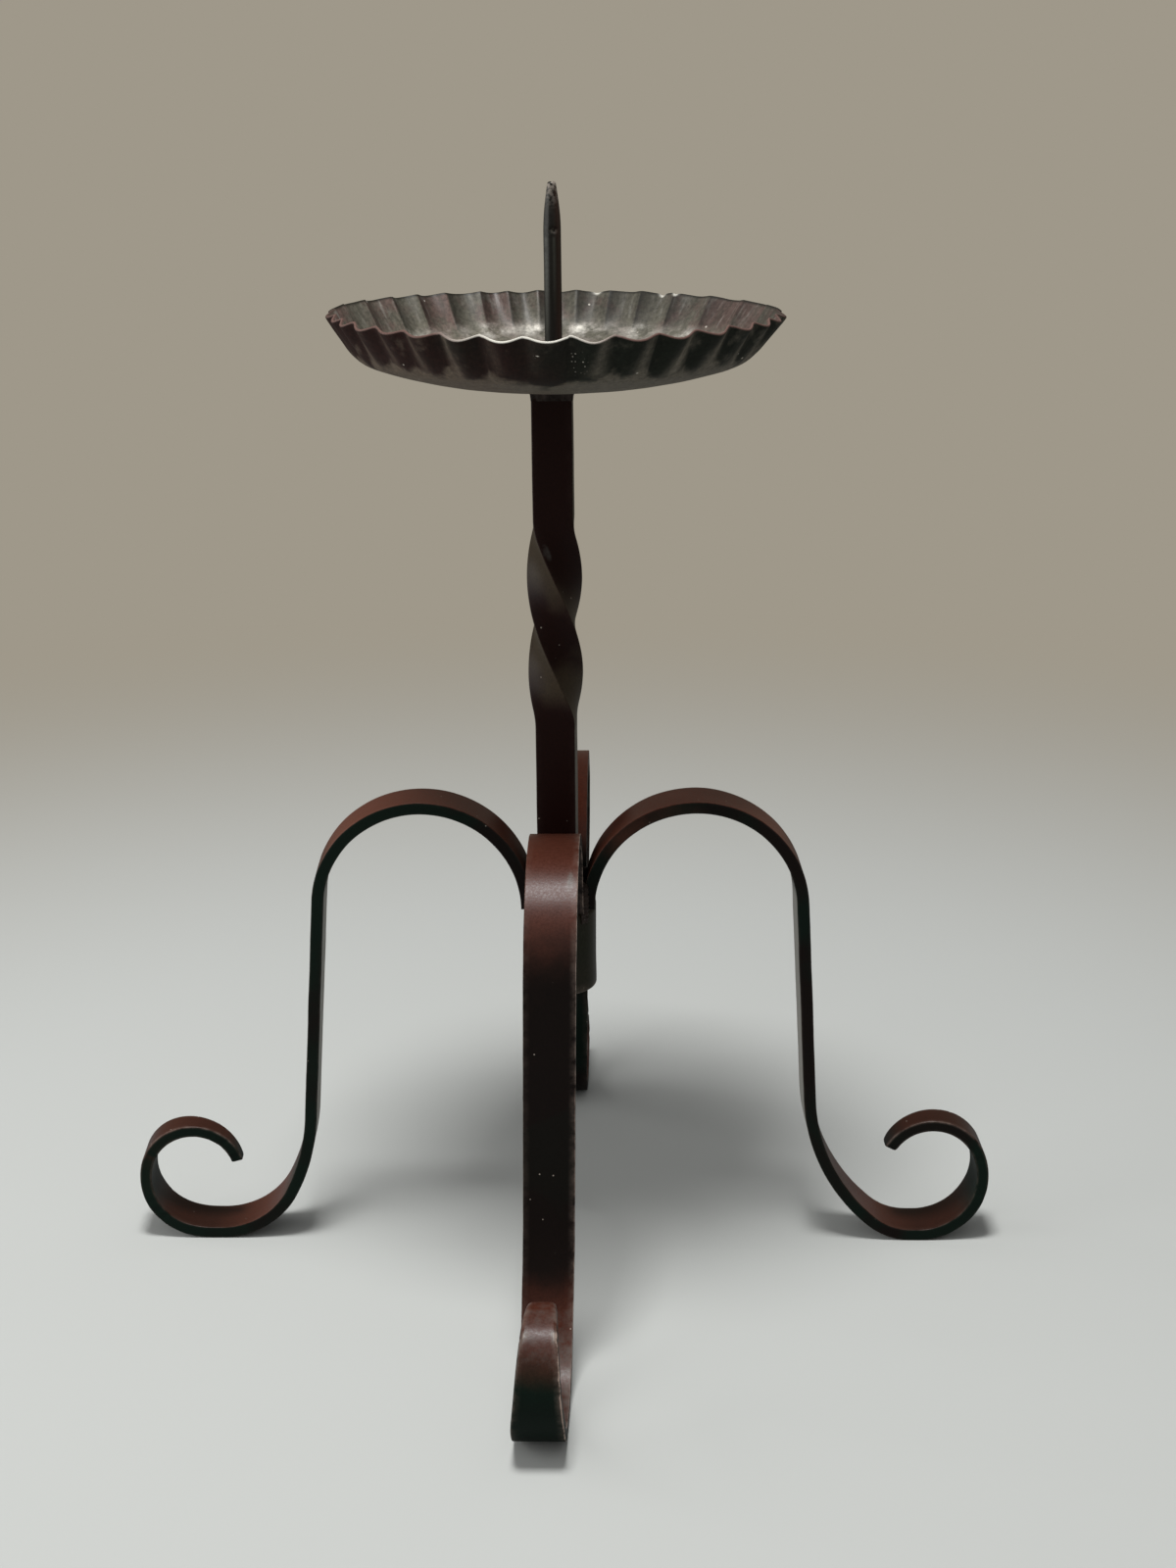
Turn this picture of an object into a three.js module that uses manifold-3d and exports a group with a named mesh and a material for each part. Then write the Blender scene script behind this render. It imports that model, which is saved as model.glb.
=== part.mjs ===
// Wrought iron pricket candlestick: a twisted square stem carried by four scrolled flat-bar legs,
// with a fluted sheet drip pan and a spike for the candle on top.
// Millimetres, +Z up, origin on the floor under the stem, the front leg towards -Y.
import * as THREE from 'three';
import { mergeVertices } from 'three/addons/utils/BufferGeometryUtils.js';
import Module from 'manifold-3d';

const DEGREE = Math.PI / 180;

// Clearance left between pieces that touch on the real object
const FIT_GAP = 0.3;

// Heights above the floor
const HUB_HEIGHT = 152.7; // top of the collar, where the legs spring
const PAN_HEIGHT = 367.5; // underside of the drip pan where it sits on the stem
const SPIKE_RISE = 76; // from the underside of the pan to the tip of the spike

// Stem: square bar with a left-hand twist
const STEM_SIDE = 16;
const STEM_EDGE = 1;
const TWIST_BELOW_PAN = 51.5;
const TWIST_LENGTH = 85;
const TWIST_TURN = -180 * DEGREE;

// Collar: a short length of pipe round the foot of the stem
const COLLAR_HEIGHT = 36.9;
const COLLAR_WALL = 3.6;
const COLLAR_ROUND = 2;
const STEM_RECESS = 4; // the stem stops short of the collar's lower end by this

// Legs: flat bar
const LEG_WIDTH = 20;
const LEG_THICKNESS = 5;
const LEG_EDGE = 0.7;
const WORN_FLAT = 3; // length worn flat under the foot
const TIP_ROUND = 3;
const FULL_WIDTH = 0.3; // share of the scroll's length before it narrows

// How a leg is bent, with radii to the middle of the bar's thickness
const PLAIN_LEG = {
  archRadius: 44,
  splay: 3 * DEGREE, // lean of the straight run, outwards
  sweepRadius: 90, // the slow bend that starts the scroll
  sweepTurn: 31 * DEGREE,
  footRadius: 32.7, // the bend that stands on the floor
  footLift: 30 * DEGREE, // turn of the same bend beyond the worn flat
  heelRadius: 25.6,
  heelTurn: 109 * DEGREE,
  curlRadius: 19.2,
  curlTurn: 106 * DEGREE,
  tipWidth: 8,
  lean: 0, // sideways, for each millimetre that the foot reaches out
};

// The four legs are bent by hand, and the photo shows how the side ones and the front one differ
const LEGS = [
  {
    ...PLAIN_LEG,
    side: 'right',
    sweepRadius: 80.5,
    sweepTurn: 46 * DEGREE,
    footRadius: 26.4,
    footLift: 26 * DEGREE,
    heelRadius: 27.3,
    heelTurn: 84.5 * DEGREE,
    curlRadius: 20.2,
    curlTurn: 132.5 * DEGREE,
    tipWidth: 8.5,
  },
  { ...PLAIN_LEG, side: 'rear' },
  {
    ...PLAIN_LEG,
    side: 'left',
    archRadius: 43.7,
    splay: 4.2 * DEGREE,
    sweepRadius: 87,
    sweepTurn: 23.7 * DEGREE,
    footRadius: 36.3,
    footLift: 16.7 * DEGREE,
    heelRadius: 24.7,
    heelTurn: 86.8 * DEGREE,
    curlRadius: 19.8,
    curlTurn: 150.8 * DEGREE,
    tipWidth: 6,
  },
  {
    ...PLAIN_LEG,
    side: 'front',
    sweepRadius: 93,
    heelRadius: 24.6,
    curlRadius: 18.4,
    tipWidth: 8.5,
    lean: -0.047,
  },
];

// Drip pan: dished sheet with a crimped wall
const PAN_SHEET = 1.5;
const PAN_SEAT_RADIUS = 15; // flat middle of the pan
const PAN_FLOOR_RADIUS = 77; // where the wall starts
const PAN_RIM_RADIUS = 88.7; // mean of the crimps
const PAN_DISH = 11.5; // fall of the floor from the wall to the flat middle
const PAN_WALL = 15.8; // height of the wall
const FLUTES = 33;
const FLUTE_DEPTH = 3.4;
const FLUTE_HEIGHT = 14; // how far the flutes run down from the rim

// Spike: round rod drawn to a blunt point
const SPIKE_DIAMETER = 6.7;
const SPIKE_TAPER = 18;
const SPIKE_TIP = 3.3;
const SOCKET_DEPTH = 14; // how far the rod goes into the stem

// Weld beads
const HUB_WELD = 4.2; // side of the beads between the legs
const HUB_WELD_RISE = 12; // reach above the collar's top
const HUB_WELD_DROP = 6; // reach below it
const HUB_WELD_DRAW = 0.8; // how much a bead closes in at its ends, 0 to 1
const PAN_WELD = 2.4;
const PAN_WELD_HEIGHT = 5;
const SPIKE_WELD = 4.5;
const SPIKE_WELD_LIP = 0.8;
const PLUG_FACE = 0.8; // the plug weld stops short of the collar's lower end by this
const PLUG_ROUND = 3;

// Facets
const ROUND_SIDES = 32;
const SPIKE_SIDES = 16;
const CORNER_STEPS = 3;
const BEAD_STEPS = 4;
const TAPER_STEPS = 4;
const PAN_FLOOR_STEPS = 4;
const PAN_WALL_STEPS = 3;
const STEPS_PER_FLUTE = 4;
const ARC_STEP = 8 * DEGREE;
const MERGE_WITHIN = 1e-4; // points nearer than this are one
const CUT_PAST = 1; // how far a cut runs out of the face that it opens

// Sizes worked out from the driving dimensions
const stemTop = PAN_HEIGHT - FIT_GAP;
const collarBottom = HUB_HEIGHT - COLLAR_HEIGHT;
const stemBottom = collarBottom + STEM_RECESS;
const stemCorner = (STEM_SIDE / 2 - STEM_EDGE) * Math.SQRT2 + STEM_EDGE;
const collarBore = stemCorner + FIT_GAP;
const collarRadius = collarBore + COLLAR_WALL;
const legFoot = HUB_HEIGHT + FIT_GAP;
const legInner = Math.max(LEG_WIDTH, STEM_SIDE) / 2 + FIT_GAP;
const spikeRadius = SPIKE_DIAMETER / 2;
const spikeHole = spikeRadius + FIT_GAP;
const spikeTop = PAN_HEIGHT + SPIKE_RISE;
const spikeBeadRadius = spikeHole + SPIKE_WELD;

const wasm = await Module();
wasm.setup();

// Shares the vertices of a closed surface and drops the triangles that vanish at an axis.
function closeSurface(geometry) {
  const bare = geometry.clone();
  bare.deleteAttribute('normal');
  bare.deleteAttribute('uv');
  const merged = mergeVertices(bare, MERGE_WITHIN);
  const corners = merged.getIndex().array;
  const kept = [];
  for (let i = 0; i < corners.length; i += 3) {
    const [a, b, c] = [corners[i], corners[i + 1], corners[i + 2]];
    if (a !== b && b !== c && c !== a) {
      kept.push(a, b, c);
    }
  }
  merged.setIndex(kept);
  return merged;
}

// Cuts one closed surface out of another.
function cut(geometry, tool) {
  const [body, knife] = [geometry, tool].map((surface) => {
    const closed = closeSurface(surface);
    const vertProperties = new Float32Array(closed.getAttribute('position').array);
    const triVerts = new Uint32Array(closed.getIndex().array);
    return new wasm.Manifold(new wasm.Mesh({ numProp: 3, vertProperties, triVerts }));
  });
  const mesh = body.subtract(knife).getMesh();
  const result = new THREE.BufferGeometry();
  result.setAttribute('position', new THREE.BufferAttribute(mesh.vertProperties, 3));
  result.setIndex(new THREE.BufferAttribute(mesh.triVerts, 1));
  return result;
}

// Skins a row of rings, each the same convex outline seen along the row, and closes both ends.
function loft(rings) {
  const sides = rings[0].length;
  const index = [];
  for (let row = 0; row < rings.length - 1; row++) {
    for (let side = 0; side < sides; side++) {
      const next = (side + 1) % sides;
      const [a, b] = [row * sides + side, row * sides + next];
      index.push(a, b, b + sides, a, b + sides, a + sides);
    }
  }
  const last = (rings.length - 1) * sides;
  for (let side = 1; side < sides - 1; side++) {
    index.push(0, side + 1, side);
    index.push(last, last + side, last + side + 1);
  }
  const geometry = new THREE.BufferGeometry().setFromPoints(rings.flat());
  geometry.setIndex(index);
  return geometry;
}

// Turns an outline of [radius, height] points about the Z axis.
function turn(outline, sides = ROUND_SIDES) {
  const points = outline.map(([radius, height]) => new THREE.Vector2(radius, height));
  return closeSurface(new THREE.LatheGeometry(points, sides).rotateX(Math.PI / 2));
}

// Rounded square outline, counter-clockwise.
function squareOutline(side, edge) {
  const half = side / 2 - edge;
  const shape = new THREE.Shape();
  for (let quarter = 0; quarter < 4; quarter++) {
    const angle = quarter * 90 * DEGREE;
    const centre = new THREE.Vector2(half, half).rotateAround(new THREE.Vector2(), angle);
    shape.absarc(centre.x, centre.y, edge, angle, angle + 90 * DEGREE, false);
  }
  return shape.getPoints(2);
}

// Square bar between two heights, turned about Z by angleAt(height) at each of the given heights.
function squareBar(side, edge, heights, angleAt) {
  const outline = squareOutline(side, edge);
  const rings = heights.map((height) => outline.map((point) => {
    const turned = point.clone().rotateAround(new THREE.Vector2(), angleAt(height));
    return new THREE.Vector3(turned.x, turned.y, height);
  }));
  return loft(rings);
}

// Stem with its twist, and the socket that takes the spike.
function stemGeometry() {
  const twistTop = stemTop - TWIST_BELOW_PAN;
  const twistBottom = twistTop - TWIST_LENGTH;
  const twistSteps = Math.ceil(Math.abs(TWIST_TURN) / ARC_STEP);
  const heights = [stemBottom];
  for (let step = 0; step <= twistSteps; step++) {
    heights.push(twistBottom + TWIST_LENGTH * step / twistSteps);
  }
  heights.push(stemTop);
  const angleAt = (height) => {
    return TWIST_TURN * THREE.MathUtils.clamp((height - twistBottom) / TWIST_LENGTH, 0, 1);
  };
  const socketFloor = stemTop - SOCKET_DEPTH - FIT_GAP;
  const above = stemTop + CUT_PAST;
  const socket = turn([[0, socketFloor], [spikeHole, socketFloor], [spikeHole, above], [0, above]]);
  return cut(squareBar(STEM_SIDE, STEM_EDGE, heights, angleAt), socket);
}

// Pipe collar with its lower outer edge rounded over.
function collarGeometry() {
  const outline = [[collarBore, collarBottom]];
  for (let step = 0; step <= CORNER_STEPS; step++) {
    const angle = (step / CORNER_STEPS - 1) * 90 * DEGREE;
    outline.push([
      collarRadius - COLLAR_ROUND + COLLAR_ROUND * Math.cos(angle),
      collarBottom + COLLAR_ROUND + COLLAR_ROUND * Math.sin(angle),
    ]);
  }
  outline.push([collarRadius, HUB_HEIGHT], [collarBore, HUB_HEIGHT], [collarBore, collarBottom]);
  return turn(outline);
}

// Walks a bar's middle line in the leg's own plane: straight runs, and arcs that turn left or right.
// Each station has its radius from the stem, its height, its heading and the length walked so far.
function walk(start, runs) {
  const stations = [start];
  for (const { length, radius, angle, steps } of runs) {
    const from = stations[stations.length - 1];
    for (let step = 1; step <= steps; step++) {
      const part = step / steps;
      if (angle === undefined) {
        stations.push({
          r: from.r + length * part * Math.cos(from.heading),
          z: from.z + length * part * Math.sin(from.heading),
          heading: from.heading,
          walked: from.walked + length * part,
        });
      } else {
        const side = Math.sign(angle) * radius;
        const heading = from.heading + angle * part;
        stations.push({
          r: from.r + side * (Math.sin(heading) - Math.sin(from.heading)),
          z: from.z - side * (Math.cos(heading) - Math.cos(from.heading)),
          heading,
          walked: from.walked + Math.abs(angle) * radius * part,
        });
      }
    }
  }
  return stations;
}

// An arc of the leg, with a station about every ARC_STEP.
function bend(radius, angle) {
  return { radius, angle, steps: Math.max(2, Math.ceil(Math.abs(angle) / ARC_STEP)) };
}

// One leg along +X: up from the collar, over the arch, down to the floor and round the scroll.
// The straight run takes whatever length brings the foot to the floor.
function legGeometry(leg) {
  const archTurn = 180 * DEGREE - leg.splay;
  const downhill = -90 * DEGREE + leg.splay;
  const footTurn = -downhill - leg.sweepTurn;
  const archEnd = legFoot + leg.archRadius * Math.sin(leg.splay);
  const sweepFall = leg.sweepRadius * (Math.cos(downhill + leg.sweepTurn) - Math.cos(downhill));
  const footFall = leg.footRadius * (1 - Math.cos(footTurn));
  const straight = (archEnd - sweepFall - footFall - LEG_THICKNESS / 2) / Math.cos(leg.splay);
  const start = { r: legInner + LEG_THICKNESS / 2, z: legFoot, heading: 90 * DEGREE, walked: 0 };
  const upright = walk(start, [bend(leg.archRadius, -archTurn), { length: straight, steps: 1 }]);
  const ankle = upright[upright.length - 1];
  const foot = walk(ankle, [
    bend(leg.sweepRadius, leg.sweepTurn),
    bend(leg.footRadius, footTurn),
    { length: WORN_FLAT, steps: 1 },
  ]);
  const toFloor = [...upright, ...foot.slice(1)];
  const floorEnd = toFloor[toFloor.length - 1];
  const scroll = walk(floorEnd, [
    bend(leg.footRadius, leg.footLift),
    bend(leg.heelRadius, leg.heelTurn),
    bend(leg.curlRadius, leg.curlTurn),
  ]);
  const tip = scroll[scroll.length - 1];
  const scrollLength = tip.walked - floorEnd.walked;
  const [end] = walk(tip, [{ length: TIP_ROUND / 2, steps: 1 }]).slice(-1);
  const stations = [...toFloor, ...scroll.slice(1), end];
  const rings = stations.map((station) => {
    const along = (station.walked - floorEnd.walked) / scrollLength;
    const narrowed = THREE.MathUtils.clamp((along - FULL_WIDTH) / (1 - FULL_WIDTH), 0, 1);
    const tipCut = station === end ? TIP_ROUND : 0;
    const width = THREE.MathUtils.lerp(LEG_WIDTH, leg.tipWidth, narrowed) - tipCut;
    const drift = leg.lean * Math.max(0, station.r - ankle.r);
    return barSection(width, LEG_THICKNESS, LEG_EDGE).map(([across, up]) => new THREE.Vector3(
      station.r - up * Math.sin(station.heading),
      across + drift,
      station.z + up * Math.cos(station.heading),
    ));
  });
  return loft(rings);
}

// Flat bar's section with its long edges taken off, as [across, up] pairs.
function barSection(width, thickness, edge) {
  const [w, t] = [width / 2, thickness / 2];
  const corners = [[1, -1], [1, 1], [-1, 1], [-1, -1]];
  return corners.flatMap(([sideways, upright], corner) => {
    const onSide = [sideways * w, upright * (t - edge)];
    const onFace = [sideways * (w - edge), upright * t];
    return corner % 2 ? [onSide, onFace] : [onFace, onSide];
  });
}

// Height of the pan's underside at a radius, before the crimping: flat, then dished up to the wall.
function panUnderside(radius) {
  const rise = (radius - PAN_SEAT_RADIUS) / (PAN_FLOOR_RADIUS - PAN_SEAT_RADIUS);
  return PAN_HEIGHT + PAN_DISH * Math.max(0, rise) ** 2;
}

// Dished pan, pierced for the spike, its wall crimped into flutes that fade out above the floor.
function panGeometry() {
  const slope = Math.atan2(PAN_WALL, PAN_RIM_RADIUS - PAN_FLOOR_RADIUS);
  const wallFoot = panUnderside(PAN_FLOOR_RADIUS);
  const seatEdges = [spikeHole, spikeBeadRadius + FIT_GAP]; // the candle rests outside the spike's bead
  const under = seatEdges.map((radius) => ({ radius, height: PAN_HEIGHT, lean: 0 }));
  for (let step = 0; step < PAN_FLOOR_STEPS; step++) {
    const part = step / PAN_FLOOR_STEPS;
    const radius = THREE.MathUtils.lerp(PAN_SEAT_RADIUS, PAN_FLOOR_RADIUS, part);
    const lean = Math.atan(2 * PAN_DISH * part / (PAN_FLOOR_RADIUS - PAN_SEAT_RADIUS));
    under.push({ radius, height: panUnderside(radius), lean });
  }
  for (let step = 0; step <= PAN_WALL_STEPS; step++) {
    const part = step / PAN_WALL_STEPS;
    const radius = THREE.MathUtils.lerp(PAN_FLOOR_RADIUS, PAN_RIM_RADIUS, part);
    under.push({ radius, height: wallFoot + PAN_WALL * part, lean: step ? slope : slope / 2 });
  }
  const lower = under.map(({ radius, height }) => [radius, height]);
  const upper = under.map(({ radius, height, lean }) => [
    radius - PAN_SHEET * Math.sin(lean),
    height + PAN_SHEET * Math.cos(lean),
  ]);
  const pan = turn([...lower, ...upper.reverse(), lower[0]], FLUTES * STEPS_PER_FLUTE);
  const fluteFoot = wallFoot + PAN_WALL - FLUTE_HEIGHT;
  const position = pan.getAttribute('position');
  for (let i = 0; i < position.count; i++) {
    const point = new THREE.Vector3().fromBufferAttribute(position, i);
    const angle = Math.atan2(point.y, point.x);
    const fade = THREE.MathUtils.clamp((point.z - fluteFoot) / FLUTE_HEIGHT, 0, 1);
    const scallop = Math.abs(Math.sin(angle * FLUTES / 2)) - 2 / Math.PI;
    const push = FLUTE_DEPTH * fade * scallop;
    const outward = push * Math.sin(slope);
    position.setXYZ(
      i,
      point.x + outward * Math.cos(angle),
      point.y + outward * Math.sin(angle),
      point.z - push * Math.cos(slope),
    );
  }
  return pan;
}

// Spike: straight through the pan and into the stem, drawn down to a blunt point.
function spikeGeometry() {
  const tip = SPIKE_TIP / 2;
  const bottom = stemTop - SOCKET_DEPTH;
  const outline = [[0, bottom], [spikeRadius, bottom]];
  for (let step = 0; step < TAPER_STEPS; step++) {
    const part = step / TAPER_STEPS;
    const swell = Math.cos(part * 90 * DEGREE);
    outline.push([THREE.MathUtils.lerp(tip, spikeRadius, swell), spikeTop - SPIKE_TAPER * (1 - part)]);
  }
  outline.push([tip, spikeTop - tip / 2], [tip / 2, spikeTop], [0, spikeTop]);
  return turn(outline, SPIKE_SIDES);
}

// Bead in the corner between two neighbouring legs, lapping down onto the collar.
// Drawn for the corner at +X +Y: a quarter round between the two bar edges.
function hubWeldGeometry() {
  const collarCorner = (collarRadius + FIT_GAP) / Math.SQRT2;
  const beadTop = HUB_HEIGHT + HUB_WELD_RISE;
  const onCollar = [1, 0.5, 0].map((part) => {
    return { part, inner: collarCorner, height: HUB_HEIGHT - HUB_WELD_DROP * part };
  });
  const onBars = [0, 0.5, 0.8, 1].map((part) => {
    return { part, inner: legInner, height: THREE.MathUtils.lerp(legFoot, beadTop, part) };
  });
  const rings = [...onCollar, ...onBars].map(({ part, inner, height }) => {
    const fullness = Math.sqrt(1 - HUB_WELD_DRAW * part ** 2);
    const reach = (legInner + HUB_WELD - inner) * fullness;
    const ring = [new THREE.Vector3(inner, inner, height)];
    for (let step = 0; step <= BEAD_STEPS; step++) {
      const angle = step / BEAD_STEPS * 90 * DEGREE;
      ring.push(new THREE.Vector3(
        inner + reach * Math.cos(angle),
        inner + reach * Math.sin(angle),
        height,
      ));
    }
    return ring;
  });
  return loft(rings);
}

// Bead under the pan, all round the top of the stem.
function panWeldGeometry() {
  const top = PAN_HEIGHT - FIT_GAP;
  const bottom = top - PAN_WELD_HEIGHT;
  const inner = stemCorner + FIT_GAP;
  const bead = turn([
    [0, bottom],
    [inner + PAN_WELD / 2, bottom],
    [inner + PAN_WELD, (bottom + top) / 2],
    [inner + PAN_WELD, top],
    [0, top],
  ]);
  const heights = [bottom - CUT_PAST, top + CUT_PAST];
  return cut(bead, squareBar(STEM_SIDE + 2 * FIT_GAP, STEM_EDGE + FIT_GAP, heights, () => 0));
}

// Hollow-faced bead on the pan, all round the foot of the spike.
function spikeWeldGeometry() {
  const seat = PAN_HEIGHT + PAN_SHEET + FIT_GAP;
  const hollow = SPIKE_WELD - SPIKE_WELD_LIP;
  const outline = [[spikeHole, seat], [spikeBeadRadius, seat]];
  for (let step = 0; step <= CORNER_STEPS; step++) {
    const angle = -90 * DEGREE * (1 + step / CORNER_STEPS);
    outline.push([
      spikeBeadRadius + hollow * Math.cos(angle),
      seat + SPIKE_WELD + hollow * Math.sin(angle),
    ]);
  }
  outline.push([spikeHole, seat + SPIKE_WELD], [spikeHole, seat]);
  return turn(outline);
}

// Plug weld that closes the collar under the end of the stem.
function plugWeldGeometry() {
  const radius = collarBore - FIT_GAP;
  const [face, top] = [collarBottom + PLUG_FACE, stemBottom - FIT_GAP];
  return turn([
    [0, face],
    [radius - PLUG_ROUND, face],
    [radius, (face + top) / 2],
    [radius, top],
    [0, top],
  ]);
}

// Finishes: iron under a thin red-brown oxide paint, a barer dark spike, and dark weld metal.
function finish(color, roughness, metalness) {
  return new THREE.MeshStandardMaterial({ color, roughness, metalness });
}

const candlestick = new THREE.Group();

function addPiece(name, geometry, material, turned = 0) {
  const mesh = new THREE.Mesh(geometry, material);
  mesh.name = name;
  mesh.rotation.z = turned;
  candlestick.add(mesh);
}

addPiece('twisted_stem', stemGeometry(), finish('#3a2725', 0.45, 0.4));
addPiece('hub_collar', collarGeometry(), finish('#3b3a36', 0.45, 0.4));
addPiece('drip_pan', panGeometry(), finish('#4a3f3b', 0.4, 0.4));
addPiece('pricket_spike', spikeGeometry(), finish('#2a2828', 0.4, 0.7));

LEGS.forEach((leg, quarter) => {
  const next = LEGS[(quarter + 1) % LEGS.length];
  const turned = quarter * 90 * DEGREE;
  addPiece(`leg_${leg.side}`, legGeometry(leg), finish('#5a3732', 0.45, 0.4), turned);
  addPiece(`hub_weld_${leg.side}_${next.side}`, hubWeldGeometry(), finish('#4a3530', 0.55, 0.4), turned);
});

addPiece('pan_weld', panWeldGeometry(), finish('#3a2d2a', 0.55, 0.4));
addPiece('spike_weld', spikeWeldGeometry(), finish('#3a3533', 0.5, 0.5));
addPiece('collar_plug_weld', plugWeldGeometry(), finish('#3a3533', 0.55, 0.4));

export default candlestick;
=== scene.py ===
"""Looks of a wrought iron pricket candlestick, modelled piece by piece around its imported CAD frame.

Lengths are in metres. +Z is up, the floor is z = 0, the stem stands on the origin.
The front leg points to -Y.
"""

import bisect
import math
from collections import defaultdict

import bmesh
import bpy
from bpy.props import FloatProperty, FloatVectorProperty, PointerProperty
from bpy.types import Operator, Panel, PropertyGroup
from mathutils import Matrix, Vector, noise


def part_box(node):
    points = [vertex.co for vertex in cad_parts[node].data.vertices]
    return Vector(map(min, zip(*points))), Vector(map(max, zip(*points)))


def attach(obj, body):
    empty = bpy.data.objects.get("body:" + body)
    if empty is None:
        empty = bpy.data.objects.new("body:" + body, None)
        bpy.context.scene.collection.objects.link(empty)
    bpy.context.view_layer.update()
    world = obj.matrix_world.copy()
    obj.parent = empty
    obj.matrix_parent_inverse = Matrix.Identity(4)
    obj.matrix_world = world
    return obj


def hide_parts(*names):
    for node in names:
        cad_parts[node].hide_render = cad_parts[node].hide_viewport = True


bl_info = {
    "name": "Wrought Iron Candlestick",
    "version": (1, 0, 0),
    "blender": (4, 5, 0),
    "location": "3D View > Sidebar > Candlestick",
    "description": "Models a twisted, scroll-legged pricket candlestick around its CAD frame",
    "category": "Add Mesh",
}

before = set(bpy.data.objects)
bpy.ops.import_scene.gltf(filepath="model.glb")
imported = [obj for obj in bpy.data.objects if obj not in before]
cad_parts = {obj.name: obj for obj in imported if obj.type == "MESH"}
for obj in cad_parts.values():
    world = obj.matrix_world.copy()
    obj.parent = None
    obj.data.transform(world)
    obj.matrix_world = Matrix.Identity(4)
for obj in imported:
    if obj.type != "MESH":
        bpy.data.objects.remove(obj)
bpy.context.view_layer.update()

MM = 0.001
GAP = 0.3 * MM  # left between neighbouring pieces
STEM_STEP = 1.5 * MM  # between the stem's rings
LEG_STEP = 1.6 * MM  # between a leg's rings
SCROLL_STEP = 1.0 * MM  # between those of its scroll
TIP_STEP = 0.25 * MM  # between those of its tip
ARRIS_STEPS = 4  # segments round each edge of a bar
STEM_FLATS = 5  # points across each face of the stem
LEG_FLATS = 7  # points across each face of a leg
CRIMP_STEPS = 20  # columns of the pan's mesh in each crimp, on average
BEAD_STEPS = 12  # segments over the round of a weld bead

# What sets each hand-bent leg apart from the plain one, in millimetres and degrees.
LEG_BENDS = {
    "right": {"arch_radius": 44.1, "sweep_radius": 80.5, "sweep_turn": 46, "foot_radius": 26.4,
              "foot_lift": 26, "heel_radius": 27.3, "heel_turn": 84.5, "curl_radius": 20.2,
              "curl_turn": 132.5, "tip_width": 8.5, "twist": 2.5},
    "rear": {"tilt": -1.15, "shift": -1.5},
    "left": {"arch_radius": 43.8, "splay": 4.2, "sweep_radius": 87, "sweep_turn": 23.7,
             "foot_radius": 36.3, "foot_lift": 16.7, "heel_radius": 24.7, "heel_turn": 86.8,
             "curl_radius": 19.8, "curl_turn": 150.8, "tip_width": 6, "twist": 2.5},
    "front": {"sweep_radius": 93, "heel_radius": 24.6, "curl_radius": 18.4, "tip_width": 8.5,
              "lean": -1.0, "tilt": 0.8, "shift": 0.7},
}
BENDS = {name for own in LEG_BENDS.values() for name in own}
ANGLES = ("splay", "sweep_turn", "foot_lift", "heel_turn", "curl_turn", "lean", "tilt", "twist")

# How much lighter or darker the red is on each leg's arch, foot and curl: painted light and painted shade.
SHADES = {"right": (0.75, -0.6, -0.6), "rear": (1.3, -0.4, -0.4), "left": (0.5, -0.66, -0.45),
          "front": (-0.05, -0.1, -0.1)}

# Marks on the bars: the scrape below the top of the stem's twist, the rubbed patches on the front leg's
# arch and on its scroll, and the darker stretch above that scroll.
SCRAPE_DROP = 13 * MM
ARCH_RUB = 95 * MM
SCROLL_RUB = 66 * MM
FRONT_DARK_STRETCH = 84 * MM

# Where the creases between the pan's crimps stand, in degrees round the rim from the right.
CREASES = (1, 14.5, 29, 43.5, 56.5, 67, 76, 85.5, 96.5, 105, 113, 123.5, 133.5, 143, 156, 170, 183.5,
           196.5, 204.5, 213, 224, 233.5, 244, 255, 265.5, 276, 287, 297.5, 308.5, 320, 330.5, 340.5, 350)

# Chips in the pan's rim: angle in degrees, width and depth.
RIM_CHIPS = ((56, 2.2 * MM, 0.7 * MM), (61, 2.8 * MM, 0.9 * MM), (80, 3.2 * MM, 0.6 * MM),
             (154, 2.0 * MM, 0.4 * MM))

# Where the painted highlight at the foot of the pan's wall is brightest: angle and spread in degrees.
SHINE = ((99, 4), (112, 6), (83, 5), (64, 3), (46, 3), (140, 4), (230, 12))

# Other stretches of the pan that differ: angle and spread in degrees.
STEEP_WALL = (180, 52)
LOW_FLOOR = (0, 60)
DARKER_FRONT = (269, 9)
THIN_PAINT = (342, 18)
BRIGHT_FLANKS = (315, 35)
# Where the painted light and shade of the crimps is strongest, and where the inside is painted darker.
LEFT_PLEATS = (132, 40)
RIGHT_PLEATS = (62, 36)
DIM_INSIDE = (70, 38)

# Places on the pan's outside, in degrees: where the gleams are weakest and where they change flanks,
# the cluster of specks and the scratch. One degree of the rim is RIM_DEGREE long.
DULL_FRONT = 268
FLANK_CHANGE = 276
SPECKS = 278.5
SCRATCH = 268.6
RIM_DEGREE = 1.55 * MM

# Places round the spike, in degrees: its notch, the seam under that, a grey band of painted sheen and the
# brown side.
NOTCH = 284
SEAM = 286
SHEEN_STRIP = 226
BROWN_SIDE = 322

# Marks that the operators set on the points of a mesh and the materials read.
OXIDE_MARKS = ("worn", "scuff", "shade", "painted_light_shift", "patina_and_sheen", "pale")
PAN_MARKS = ("inside", "lobe", "gleam", "tone", "foot", "rim", "chip", "wall", "pleat", "nick")
IRON_MARKS = ("worn", "sheen_strip", "brown")

# Setting of a MapRange node whose ends are soft.
SMOOTH = {"interpolation_type": "SMOOTHSTEP"}

# Stage: the point that the lights face, and the camera's place and its yaw, pitch and roll in radians.
LIT_POINT = Vector((0, 0, 0.2))
CAMERA_PLACE = (0.03553, -0.89042, 0.48753)
CAMERA_TURNS = (-0.0257, 0.3079, 0.0090)


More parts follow.
